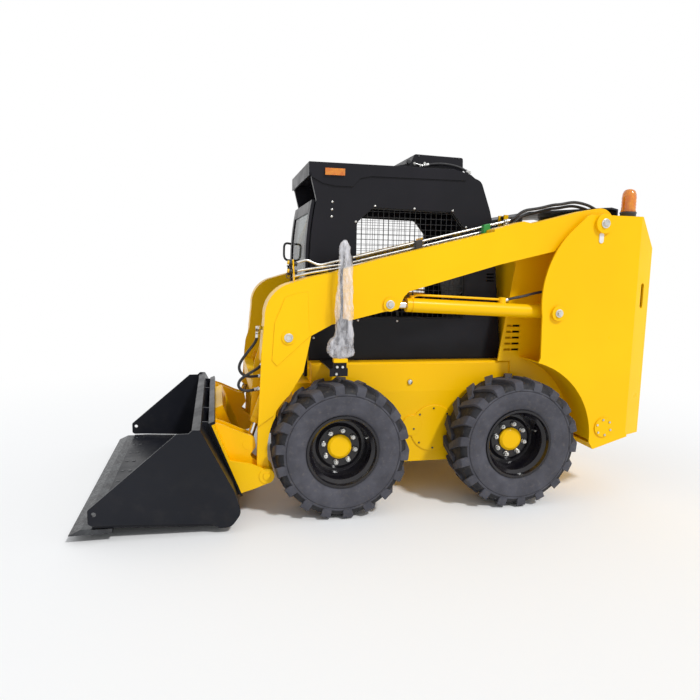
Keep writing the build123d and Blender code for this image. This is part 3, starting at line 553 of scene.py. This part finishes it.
# kind, body it rides on, radius, length, control points as station x, y, z
HOSES = (
    ("upper", "tilt_barrel_left", 0.0085, 0.388, (
        (0.492, 0.625, 1.098), (0.495, 0.625, 1.063), (0.549, 0.625, 0.997), (0.596, 0.625, 0.932),
        (0.603, 0.625, 0.893), (0.584, 0.625, 0.860), (0.548, 0.625, 0.845), (0.509, 0.625, 0.846),
        (0.471, 0.625, 0.850))),
    ("lower", "tilt_barrel_left", 0.0085, 0.330, (
        (0.462, 0.652, 0.929), (0.484, 0.652, 0.905), (0.525, 0.654, 0.880), (0.583, 0.654, 0.845),
        (0.603, 0.652, 0.822), (0.608, 0.649, 0.793), (0.590, 0.645, 0.770), (0.556, 0.640, 0.761),
        (0.521, 0.634, 0.764), (0.496, 0.630, 0.769))),
    ("lift", "lift_barrel_left", 0.0085, 0.297, (
        (-1.065, 0.700, 1.3196), (-1.108, 0.700, 1.333), (-1.182, 0.700, 1.344),
        (-1.262, 0.700, 1.367), (-1.355, 0.700, 1.382))),
    ("cooler", "chassis", 0.009, 0.299, (
        (-0.640, 0.310, 2.190), (-0.690, 0.316, 2.200), (-0.770, 0.322, 2.202),
        (-0.850, 0.326, 2.190), (-0.900, 0.326, 2.172), (-0.930, 0.322, 2.156))),
    ("arch_outer", "boom", 0.0095, 0.75, (
        (-1.097, 0.600, 1.821), (-1.141, 0.600, 1.832), (-1.203, 0.603, 1.893),
        (-1.309, 0.603, 1.907), (-1.414, 0.603, 1.936), (-1.465, 0.603, 1.940),
        (-1.551, 0.603, 1.959), (-1.609, 0.603, 1.956), (-1.684, 0.603, 1.939),
        (-1.762, 0.603, 1.897), (-1.790, 0.603, 1.860))),
    ("arch_inner", "boom", 0.0095, 0.743, (
        (-1.097, 0.600, 1.790), (-1.141, 0.600, 1.801), (-1.192, 0.583, 1.856),
        (-1.309, 0.575, 1.885), (-1.414, 0.575, 1.914), (-1.465, 0.575, 1.918),
        (-1.551, 0.575, 1.937), (-1.609, 0.575, 1.934), (-1.684, 0.575, 1.917),
        (-1.762, 0.575, 1.875), (-1.784, 0.575, 1.846))),
)
PIPE_Y = 0.600
PIPE_R = 0.0075
PIPE_START = (0.120, 1.517)  # a point of the top pipe, and its slope along the arm
PIPE_SLOPE = -0.2498
CLAMP_HALF = 0.022
CLAMP_OUT_Y = 0.6397
PIPES = (
    ((0.268, 1.527), (0.225, 1.540), (0.196, 1.549), (0.160, 1.534), (0.120, 1.517),
     (0.060, 1.532), (-0.500, 1.672), (-1.060, 1.812), (-1.097, 1.821)),
    ((0.268, 1.478), (0.220, 1.487), (0.175, 1.495), (0.120, 1.504), (-0.010, 1.523),
     (-0.041, 1.528), (-0.080, 1.538), (-0.600, 1.667), (-1.060, 1.781), (-1.097, 1.790)),
    ((0.268, 1.448), (0.220, 1.459), (0.170, 1.472), (0.120, 1.481), (-0.010, 1.503),
     (-0.041, 1.508), (-0.080, 1.518), (-0.600, 1.646), (-0.950, 1.733), (-0.990, 1.743)),
)
CLAMPS = (-0.060, -0.500, -0.945)


def make_hoses():
    for kind, body, radius, length, rows in HOSES:
        name = "hose_" + kind
        points = [station(*row) for row in rows]
        tube = route(name, points, radius, body, "black_plastic", LOOKS["hose_rubber"])
        ends = hose_ends(name + "_ends", points, radius, body)


def block(bm, x0, x1, y0, y1, z0, z1):
    """Block between two stations, for plates and clamps that get bevelled edges."""
    corners = [bm.verts.new(station(x, y, z)) for x in (x0, x1) for y in (y0, y1)
               for z in (z0, z1)]
    for face in ((0, 1, 3, 2), (4, 6, 7, 5), (0, 4, 5, 1), (2, 3, 7, 6), (0, 2, 6, 4),
                 (1, 5, 7, 3)):
        bm.faces.new([corners[k] for k in face])


def prism(bm, rows, y0, y1):
    """Plate with an outline of (x, z), between two y."""
    near, far = ([bm.verts.new(station(x, y, z)) for x, z in rows] for y in (y0, y1))
    bm.faces.new(near)
    bm.faces.new(list(reversed(far)))
    for k in range(len(rows)):
        m = (k + 1) % len(rows)
        bm.faces.new((near[m], near[k], far[k], far[m]))


def make_pipes():
    for n, rows in enumerate(PIPES):
        route("boom_pipe_%d" % n, path(PIPE_Y, rows), PIPE_R, "boom", "rod_chrome", TUBE_STEEL)
    for n, x in enumerate(CLAMPS):
        bm = bmesh.new()
        z = PIPE_START[1] + PIPE_SLOPE * (x - PIPE_START[0])
        front, rear = x + CLAMP_HALF, x - CLAMP_HALF
        prism(bm, ((front, z + 0.0065), (rear, z + 0.0175), (rear, z - 0.0765),
                   (front, z - 0.0875)), PIPE_Y - 0.011, CLAMP_OUT_Y)
        build(bm, "pipe_clamp_%d" % n, "boom", "black_plastic", GREEN if n == 2 else None,
              smooth=False, degrees=30, width=0.003)
    bm = bmesh.new()
    prism(bm, ((0.268, 1.4230), (0.276, 1.4205), (0.284, 1.548), (0.276, 1.550)),
          PIPE_Y - 0.016, PIPE_Y + 0.020)
    build(bm, "coupler_bracket", "boom", "body_paint", smooth=False, degrees=30, width=0.0015)
    bm = bmesh.new()
    collars = bmesh.new()
    for z in (1.478, 1.527):
        out = Vector((0.987, 0, 0.16))
        at = station(0.282, PIPE_Y, z)
        turned_part(collars, ((0.011, -0.03), (0.013, -0.028), (0.013, -0.004), (0.015, 0.0),
                              (0.015, 0.018), (0.0125, 0.020)), at, out)
        turned_part(bm, ((0.0115, 0.018), (0.012, 0.020), (0.012, 0.028), (0.010, 0.031)),
                    at, out)
    build(bm, "coupler_caps", "boom", "body_paint", CAP_YELLOW)
    build(collars, "coupler_collars", "boom", "black_plastic")
    # dust cap's ring, hanging from the lower coupler
    turns = [math.radians(k) for k in range(90, 441, 25)]
    route("coupler_ring", path(PIPE_Y + 0.002, [
        (0.305 + 0.014 * math.cos(a), 1.455 + 0.018 * math.sin(a)) for a in turns]),
          0.0022, "boom", "black_plastic")


# ---- cylinder ports -----------------------------------------------------------
LIFT_BASE, LIFT_EYE = (-1.380, 1.246), (-0.286, 1.293)
LIFT_Y = 0.700
# on the lift barrel: distance from its base pin, height over its middle line
LIFT_PIPE = ((0.335, 0.064), (0.39, 0.064), (0.60, 0.064), (0.86, 0.064), (0.925, 0.064),
             (0.94, 0.04))
LIFT_PORTS = ((0.34, 0.078, 0.024), (0.94, 0.060, 0.014))   # distance, top, radius
# on the tilt barrel: station x, y, z and the way out of the port
TILT_PORTS = ((0.462, 0.640, 0.929, (-0.6, 0, 0.75)), (0.496, 0.640, 0.769, (-0.97, 0, 0.2)),
              (0.471, 0.625, 0.850, (-1, 0, 0.1)))


def on_lift(distance, height, y):
    """Point on the line from the lift barrel's base pin to its rod's eye."""
    along = Vector((LIFT_EYE[0] - LIFT_BASE[0], 0, LIFT_EYE[1] - LIFT_BASE[1])).normalized()
    up = Vector((-along.z, 0, along.x))
    return station(LIFT_BASE[0], y, LIFT_BASE[1]) + along * distance + up * height


def make_elbow():
    """Elbow in the knee's front, over the upper hose's first fitting."""
    bm = bmesh.new()
    turned_part(bm, ((0.012, 0.0), (0.012, 0.030), (0.008, 0.033)), station(0.458, 0.625, 1.140),
                (1, 0, 0))
    turned_part(bm, ((0.011, 0.0), (0.011, 0.026), (0.008, 0.028)), station(0.492, 0.625, 1.1235),
                (0, 0, 1))
    build(bm, "hose_elbow", "boom", "rod_chrome", ZINC)


def make_ports():
    for side, sign in (("left", 1), ("right", -1)):
        y = sign * LIFT_Y
        route("lift_pipe_" + side, [on_lift(*row, y) for row in LIFT_PIPE], PIPE_R,
              "lift_barrel_" + side, "body_paint")
        bm = bmesh.new()
        up = on_lift(0, 1, y) - on_lift(0, 0, y)
        for distance, top, size in LIFT_PORTS:
            turned_part(bm, ((size, 0.036), (size, top - 0.003), (size - 0.003, top)),
                        on_lift(distance, 0, y), up)
        build(bm, "lift_ports_" + side, "lift_barrel_" + side, "body_paint", degrees=35,
              width=0.001)
        bm = bmesh.new()
        for x, y, z, out in TILT_PORTS:
            turned_part(bm, ((0.013, 0.0), (0.013, 0.020), (0.010, 0.022)),
                        station(x, sign * y, z), out)
        build(bm, "port_nuts_" + side, "tilt_barrel_" + side, "rod_chrome", ZINC)


# ---- bolts and small fittings -------------------------------------------------
CAB_BOLTS = (
    (-0.268, 1.900), (-0.532, 1.893), (-0.795, 1.889), (-0.144, 1.797), (-0.894, 1.785),
    (-0.171, 1.167), (-0.437, 1.163), (0.119, 1.053), (0.010, 1.915), (0.012, 1.868),
    (0.013, 1.824))


# station x, y, z and radius of the caps over the pins
TOWER_CAPS = ((-1.661, 0.8203, 1.812, 0.030), (LIFT_BASE[0], 0.8183, LIFT_BASE[1], 0.026))
ARM_CAPS = ((0.319, 0.7483, 1.094, 0.026), (LIFT_EYE[0], 0.7723, LIFT_EYE[1], 0.026))
CASE_SIDE_Y = 0.5453         # outer side of the chain cases
SLOT_PLUG = (-1.649, 1.722)
SLOT_END_R, SLOT_HALF = 0.016, 0.017


def pin_caps(bm, rows, sign, high, turn):
    """Washer with a bolt head on each pin's end."""
    out = (0, sign, 0)
    for x, y, z, size in rows:
        at = station(x, sign * y, z)
        turned_part(bm, ((size, 0.0), (size, 0.004), (size - 0.003, 0.005)), at, out, 32)
        hex_part(bm, size * 1.25, 0.004, high, at, out, turn)


def bolt_circle(bm, centre, sign, radius, count, start, across, high):
    x, y, z = centre
    for k in range(count):
        a = math.radians(360 / count * k + start)
        hex_part(bm, across, 0.0, high,
                 station(x + radius * math.cos(a), sign * y, z + radius * math.sin(a)),
                 (0, sign, 0))


def make_bolts():
    cab, body, boom, plugs = bmesh.new(), bmesh.new(), bmesh.new(), bmesh.new()
    slot = []
    for k in range(24):
        a = 2 * math.pi * k / 24
        shift = SLOT_HALF if math.sin(a) > 0 else -SLOT_HALF
        slot.append((SLOT_PLUG[0] + SLOT_END_R * math.cos(a),
                     SLOT_PLUG[1] + SLOT_END_R * math.sin(a) + shift))
    for sign in (1, -1):
        out = (0, sign, 0)
        for x, z in CAB_BOLTS:
            turned_part(cab, ((0.0085, 0.0), (0.0085, 0.002), (0.0066, 0.0055),
                              (0.003, 0.0068)), station(x, sign * 0.4203, z), out, 16)
        pin_caps(body, TOWER_CAPS, sign, 0.018, 0.3)
        bolt_circle(body, (-1.765, 0.8083, 0.492), sign, 0.052, 6, 20, 0.014, 0.006)
        turned_part(body, ((0.018, 0.0), (0.018, 0.003), (0.014, 0.009), (0.006, 0.012)),
                    station(-0.500, sign * CASE_SIDE_Y, 0.775), out, 24)
        pin_caps(boom, ARM_CAPS, sign, 0.016, 0.5)
        prism(plugs, slot, sign * 0.8002, sign * 0.8055)
    build(cab, "cab_bolts", "chassis", "rod_chrome", ZINC)
    build(body, "body_bolts", "chassis", "rod_chrome", ZINC, False, 30, 0.0008)
    build(boom, "boom_bolts", "boom", "rod_chrome", ZINC, False, 30, 0.0008)
    build(plugs, "tower_plugs", "chassis", "black_plastic", WHITE, False, 40, 0.0015)


LAMP_IN_Y, LAMP_OUT_Y = 0.60, 0.69
LAMP_LOW_Z, LAMP_HIGH_Z = 1.450, 1.560
LAMP_RIM = 0.006             # holder round the lens


def make_lamps():
    """Red lamps on the rear faces of the towers."""
    lenses, holders = bmesh.new(), bmesh.new()
    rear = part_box("tower_left")[0].x - AXLE.x
    for sign in (1, -1):
        low, high = sorted((sign * LAMP_IN_Y, sign * LAMP_OUT_Y))
        block(holders, rear + 0.0095, rear + 0.0005, low - LAMP_RIM, high + LAMP_RIM,
              LAMP_LOW_Z - LAMP_RIM, LAMP_HIGH_Z + LAMP_RIM)
        block(lenses, rear + 0.009, rear - 0.006, low, high, LAMP_LOW_Z, LAMP_HIGH_Z)
    build(holders, "rear_lamp_holders", "chassis", "black_plastic", None, False, 30, 0.001)
    build(lenses, "rear_lamp_lenses", "chassis", "lamp_amber", LAMP_RED, False, 30, 0.003, 3)


EDGE_BOLT_ROWS = (1.322, 1.372)
EDGE_BOLTS, EDGE_BOLT_PITCH = 9, 0.21


def make_bucket_bolts():
    """Plough bolts through the floor and edge plate, with their nuts below."""
    heads, nuts = bmesh.new(), bmesh.new()
    for x in EDGE_BOLT_ROWS:
        for k in range(EDGE_BOLTS):
            y = -0.84 + EDGE_BOLT_PITCH * k
            turned_part(heads, ((0.013, 0.0), (0.013, 0.0015), (0.010, 0.003)),
                        station(x, y, 0.0910), (0, 0, 1), 20)
            hex_part(nuts, 0.024, 0.0, 0.014, station(x, y, 0.0535), (0, 0, -1))
    build(heads, "bucket_bolt_heads", "attachment", "edge_steel")
    build(nuts, "bucket_bolt_nuts", "attachment", "edge_steel", smooth=False)


def make_covers():
    """Round bolted covers of the chain cases, between the wheels."""
    covers, bolts = bmesh.new(), bmesh.new()
    x, z = -0.668, 0.462
    for sign in (1, -1):
        turned_part(covers, ((0.157, 0.0), (0.157, 0.004), (0.155, 0.006), (0.148, 0.007)),
                    station(x, sign * CASE_SIDE_Y, z), (0, sign, 0), 72)
        bolt_circle(bolts, (x, CASE_SIDE_Y + 0.007, z), sign, 0.134, 8, 0, 0.012, 0.005)
    build(covers, "case_covers", "chassis", "body_paint", degrees=30)
    build(bolts, "case_cover_bolts", "chassis", "edge_steel", smooth=False)


COOLER_SIDE_Y = 0.3003       # side of the roof unit that carries its fittings


def make_handles():
    route("door_handle", path(-0.345, (
        (0.176, 1.672), (0.205, 1.680), (0.228, 1.668), (0.230, 1.620), (0.229, 1.570),
        (0.205, 1.548), (0.180, 1.552))), 0.008, "front_door", "black_plastic")
    bm = bmesh.new()
    for x, z in ((-0.560, 2.196), (-0.600, 2.186), (-0.630, 2.200)):
        hex_part(bm, 0.020, -0.004, 0.008, station(x, COOLER_SIDE_Y, z), (0, 1, 0))
        turned_part(bm, ((0.007, 0.008), (0.007, 0.016), (0.005, 0.018)),
                    station(x, COOLER_SIDE_Y, z), (0, 1, 0), 16)
    route("cooler_pipe", path(0.311, (
        (-0.560, 2.196), (-0.580, 2.192), (-0.600, 2.186), (-0.625, 2.186), (-0.645, 2.190))),
          0.005, "chassis", "rod_chrome", ZINC)
    build(bm, "cooler_fittings", "chassis", "rod_chrome", ZINC, smooth=False)
    bm = bmesh.new()
    turned_part(bm, ((0.016, 0.0), (0.016, 0.004), (0.013, 0.012), (0.011, 0.014)),
                station(-0.520, COOLER_SIDE_Y, 2.205), (0, 1, 0), 32)
    for x, z in ((-0.590, 2.245), (-0.870, 2.245)):
        turned_part(bm, ((0.007, 0.0), (0.007, 0.003), (0.004, 0.005)),
                    station(x, COOLER_SIDE_Y, z), (0, 1, 0), 16)
    build(bm, "cooler_knob", "chassis", "black_plastic")


BEACON_PLACE = (-1.900, 0.700)
BEACON_TOP_Z = 2.046


def make_beacon():
    x, y = BEACON_PLACE
    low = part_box("beacon")[0].z
    bm = bmesh.new()
    turned_part(bm, ((0.046, 0.0), (0.049, 0.003), (0.049, 0.022), (0.052, 0.025), (0.052, 0.032),
                     (0.047, 0.035)), station(x, y, low), (0, 0, 1), 48)
    build(bm, "beacon_base", "chassis", "black_plastic")
    bm = bmesh.new()
    tall = BEACON_TOP_Z - low
    rows = [(0.0465, 0.0352), (0.0475, 0.038)]
    rows += [(0.0455 - 0.0012 * (k % 2), 0.04 + (tall - 0.09) * k / 9) for k in range(1, 9)]
    rows += [(0.043, tall - 0.035), (0.037, tall - 0.016), (0.027, tall - 0.005), (0.012, tall)]
    turned_part(bm, rows, station(x, y, low), (0, 0, 1), 48)
    dome = piece("beacon_dome", mesh_of(bm, "beacon_dome"), "chassis", "lamp_amber")
    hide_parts("beacon")
    bm = bmesh.new()
    turned_part(bm, ((0.022, 0.036), (0.022, 0.06), (0.012, 0.066), (0.012, 0.1), (0.006, 0.105)),
                station(x, y, low), (0, 0, 1), 24)
    build(bm, "beacon_bulb", "chassis", "rod_chrome", ZINC)


# ---- mirror with its wrapping -------------------------------------------------
MIRROR_Y = 0.812
# height, rear and front station, half depth of the wrapping
FILM_ROWS = (
    (0.981, -0.020, 0.062, 0.026), (0.992, -0.052, 0.084, 0.032), (1.012, -0.066, 0.103, 0.037),
    (1.045, -0.063, 0.111, 0.038), (1.080, -0.059, 0.094, 0.036), (1.112, -0.057, 0.056, 0.032),
    (1.180, -0.054, 0.055, 0.030), (1.320, -0.048, 0.056, 0.028), (1.407, -0.043, 0.044, 0.026),
    (1.539, -0.036, 0.040, 0.022), (1.629, -0.030, 0.037, 0.017), (1.655, -0.006, 0.020, 0.008),
    (1.664, 0.002, 0.010, 0.003))
FILM_RING, FILM_STEPS = 56, 90
FILM_GATHER_Z = 1.1          # under this height the folds are deeper
FILM_FOLD_MAX = 0.006


def make_mirror():
    bm = bmesh.new()
    block(bm, -0.028, 0.081, 0.436, 0.800, 0.9055, 0.915)
    block(bm, -0.028, 0.081, 0.792, 0.800, 0.868, 0.9055)
    block(bm, -0.020, 0.062, 0.792, 0.800, 0.915, 0.958)
    build(bm, "mirror_bracket", "chassis", "cab_paint", smooth=False, degrees=30, width=0.0015)
    bm = bmesh.new()
    block(bm, -0.022, 0.063, 0.784, 0.826, 0.952, 0.978)
    build(bm, "mirror_collar", "chassis", "body_paint", smooth=False, degrees=30, width=0.006,
          segments=3)
    bm = bmesh.new()
    for x, z in ((0.038, 0.925), (0.005, 0.925), (0.042, 0.883)):
        hex_part(bm, 0.016, 0.0, 0.008, station(x, 0.8002, z), (0, 1, 0))
    build(bm, "mirror_bolts", "chassis", "rod_chrome", ZINC, smooth=False)
    route("mirror_stalk", path(MIRROR_Y, (
        (0.022, 0.970), (0.028, 1.057), (0.021, 1.204), (0.017, 1.320), (0.025, 1.407),
        (0.021, 1.522), (0.010, 1.600))), 0.009, "chassis", "black_plastic")
    bm = bmesh.new()
    prism(bm, ((-0.020, 1.060), (0.045, 1.055), (0.050, 1.190), (0.030, 1.215), (-0.022, 1.205)),
          MIRROR_Y - 0.010, MIRROR_Y + 0.006)
    build(bm, "mirror_plate", "chassis", "black_plastic", smooth=False, degrees=30,
          width=0.005, segments=3)


def between(rows, z):
    """Row of a table at a height between two of its rows."""
    for low, high in zip(rows, rows[1:]):
        if z <= high[0]:
            t = (z - low[0]) / (high[0] - low[0])
            return [a + (b - a) * t for a, b in zip(low, high)]
    return rows[-1]


def squarish(share):
    """Cosine or sine that fills out a round outline's corners."""
    return math.copysign(abs(share) ** 0.8, share)


def make_film():
    """Bag of thin film pulled over the mirror, bunched at its foot."""
    bm = bmesh.new()
    rings = []
    for step in range(FILM_STEPS + 1):
        z = FILM_ROWS[0][0] + (FILM_ROWS[-1][0] - FILM_ROWS[0][0]) * step / FILM_STEPS
        _, rear, front, deep = between(FILM_ROWS, z)
        middle, half = (rear + front) / 2, (front - rear) / 2
        ring = []
        for n in range(FILM_RING):
            a = 2 * math.pi * n / FILM_RING
            x = middle + half * squarish(math.cos(a))
            y = MIRROR_Y + deep * squarish(math.sin(a))
            point = Vector((x, y, z))
            folds = noise.noise(Vector((x * 26, y * 26, z * 11))) + 0.6 * noise.noise(
                Vector((x * 70, y * 70, z * 34 + 5)))
            puff = 0.012 if z < FILM_GATHER_Z else 0.009
            out = Vector((math.cos(a), math.sin(a), 0))
            point += out * min(FILM_FOLD_MAX, folds * puff)
            ring.append(bm.verts.new(station(*point)))
        rings.append(ring)
    for lower, upper in zip(rings, rings[1:]):
        stitch(bm, lower, upper)
    bm.faces.new(rings[-1])
    obj = piece("mirror_film", mesh_of(bm, "mirror_film"), "chassis", None,
                LOOKS["film_wrap"])


# ---- seat ---------------------------------------------------------------------
def pad(name, centre, size, lean, grooves):
    """Crowned closed cushion with sewn channels across it."""
    bm = bmesh.new()
    bmesh.ops.create_cube(bm, size=2.0)
    bmesh.ops.subdivide_edges(bm, edges=bm.edges[:], cuts=23, use_grid_fill=True)
    a, b, c = size[0] / 2, size[1] / 2, size[2] / 2
    turn = Matrix.Rotation(lean, 3, "Y")
    for vert in bm.verts:
        u, v, w = vert.co
        crown = (1 - 0.45 * abs(u) ** 4) * (1 - 0.45 * abs(v) ** 4)
        waist = 1 - 0.06 * (1 - w * w) * (abs(u) ** 6 + abs(v) ** 6)
        dip = sum(math.exp(-((u - g) / 0.035) ** 2) for g in grooves) * (0.012 if w > 0 else 0)
        place = Vector((a * u * waist, b * v * waist, c * w * crown - dip * max(0.0, w)))
        vert.co = turn @ place + station(*centre)
    obj = piece(name, mesh_of(bm, name), "chassis", "seat_vinyl")
    smooth = obj.modifiers.new("smooth", "SUBSURF")
    smooth.levels = smooth.render_levels = 1
    return obj


def make_seat():
    cushion = pad("seat_cushion", (-0.772, 0, 0.963), (0.535, 0.475, 0.105), 0.0,
                  (-0.45, 0.0, 0.45))
    back = pad("seat_back", (-1.005, 0, 1.290), (0.525, 0.455, 0.080), math.radians(-84),
               (-0.5, 0.0, 0.5))
    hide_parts("seat")
    bm = bmesh.new()
    block(bm, -1.02, -0.54, -0.19, 0.19, 0.9055, 0.925)
    build(bm, "seat_base", "chassis", "black_plastic", smooth=False, degrees=30, width=0.004)


# ---- floor and light ----------------------------------------------------------
FLOOR_FADE = (2.6, 5.5)      # distances between which the floor turns to white
SKY_COLOUR, SKY_STRENGTH = (0.96, 0.98, 1.0, 1.0), 0.62
SUN_STRENGTH, SUN_ANGLE, SUN_FROM = 1.9, math.radians(6.0), (-0.42, 0.75, 0.9)


def make_stage():
    bm = bmesh.new()
    bmesh.ops.create_grid(bm, x_segments=1, y_segments=1, size=60.0)
    floor = bpy.data.objects.new("floor", mesh_of(bm, "floor"))
    bpy.context.scene.collection.objects.link(floor)
    n = Nodes("floor")
    n.set(Base_Color=(0.93, 0.93, 0.93, 1.0), Roughness=0.9, Specular_IOR_Level=0.0)
    n.put(n.ramp(n.noise(0.8), 0.2, 0.8, 0.85, 0.95), "Roughness")
    away = n.tree.nodes.new("ShaderNodeVectorMath")
    away.operation = "LENGTH"
    n.join(n.place, away.inputs[0])
    white = n.tree.nodes.new("ShaderNodeEmission")
    n.blend(n.ramp(away.outputs["Value"], *FLOOR_FADE), n.shader.outputs[0], white.outputs[0])
    floor.data.materials.append(n.material)

    world = bpy.data.worlds.new("world")
    bpy.context.scene.world = world
    world.use_nodes = True
    tree = world.node_tree
    sky = tree.nodes["Background"]
    sky.inputs["Color"].default_value = SKY_COLOUR
    sky.inputs["Strength"].default_value = SKY_STRENGTH
    seen = tree.nodes.new("ShaderNodeBackground")
    seen.inputs["Color"].default_value = (1.0, 1.0, 1.0, 1.0)
    seen.inputs["Strength"].default_value = 1.0
    rays = tree.nodes.new("ShaderNodeLightPath")
    direct = rays.outputs["Is Camera Ray"]
    for kind in ("Is Transmission Ray", "Is Glossy Ray"):
        either = tree.nodes.new("ShaderNodeMath")
        either.operation = "MAXIMUM"
        tree.links.new(direct, either.inputs[0])
        tree.links.new(rays.outputs[kind], either.inputs[1])
        direct = either.outputs[0]
    mix = tree.nodes.new("ShaderNodeMixShader")
    for source, socket in zip((direct, sky.outputs[0], seen.outputs[0]), mix.inputs):
        tree.links.new(source, socket)
    tree.links.new(mix.outputs[0], tree.nodes["World Output"].inputs["Surface"])

    light = bpy.data.lights.new("sun", "SUN")
    light.energy = SUN_STRENGTH
    light.angle = SUN_ANGLE
    lamp = bpy.data.objects.new("sun", light)
    bpy.context.scene.collection.objects.link(lamp)
    lamp.rotation_mode = "QUATERNION"
    lamp.rotation_quaternion = Vector(SUN_FROM).to_track_quat("Z", "Y")
    bpy.context.scene.view_settings.view_transform = "Standard"


make_camera()
make_stage()
dress_cad()
make_hoses()
make_pipes()
make_elbow()
make_ports()
make_wheels()
make_bolts()
make_lamps()
make_bucket_bolts()
make_covers()
make_handles()
make_beacon()
make_mirror()
make_film()
make_seat()
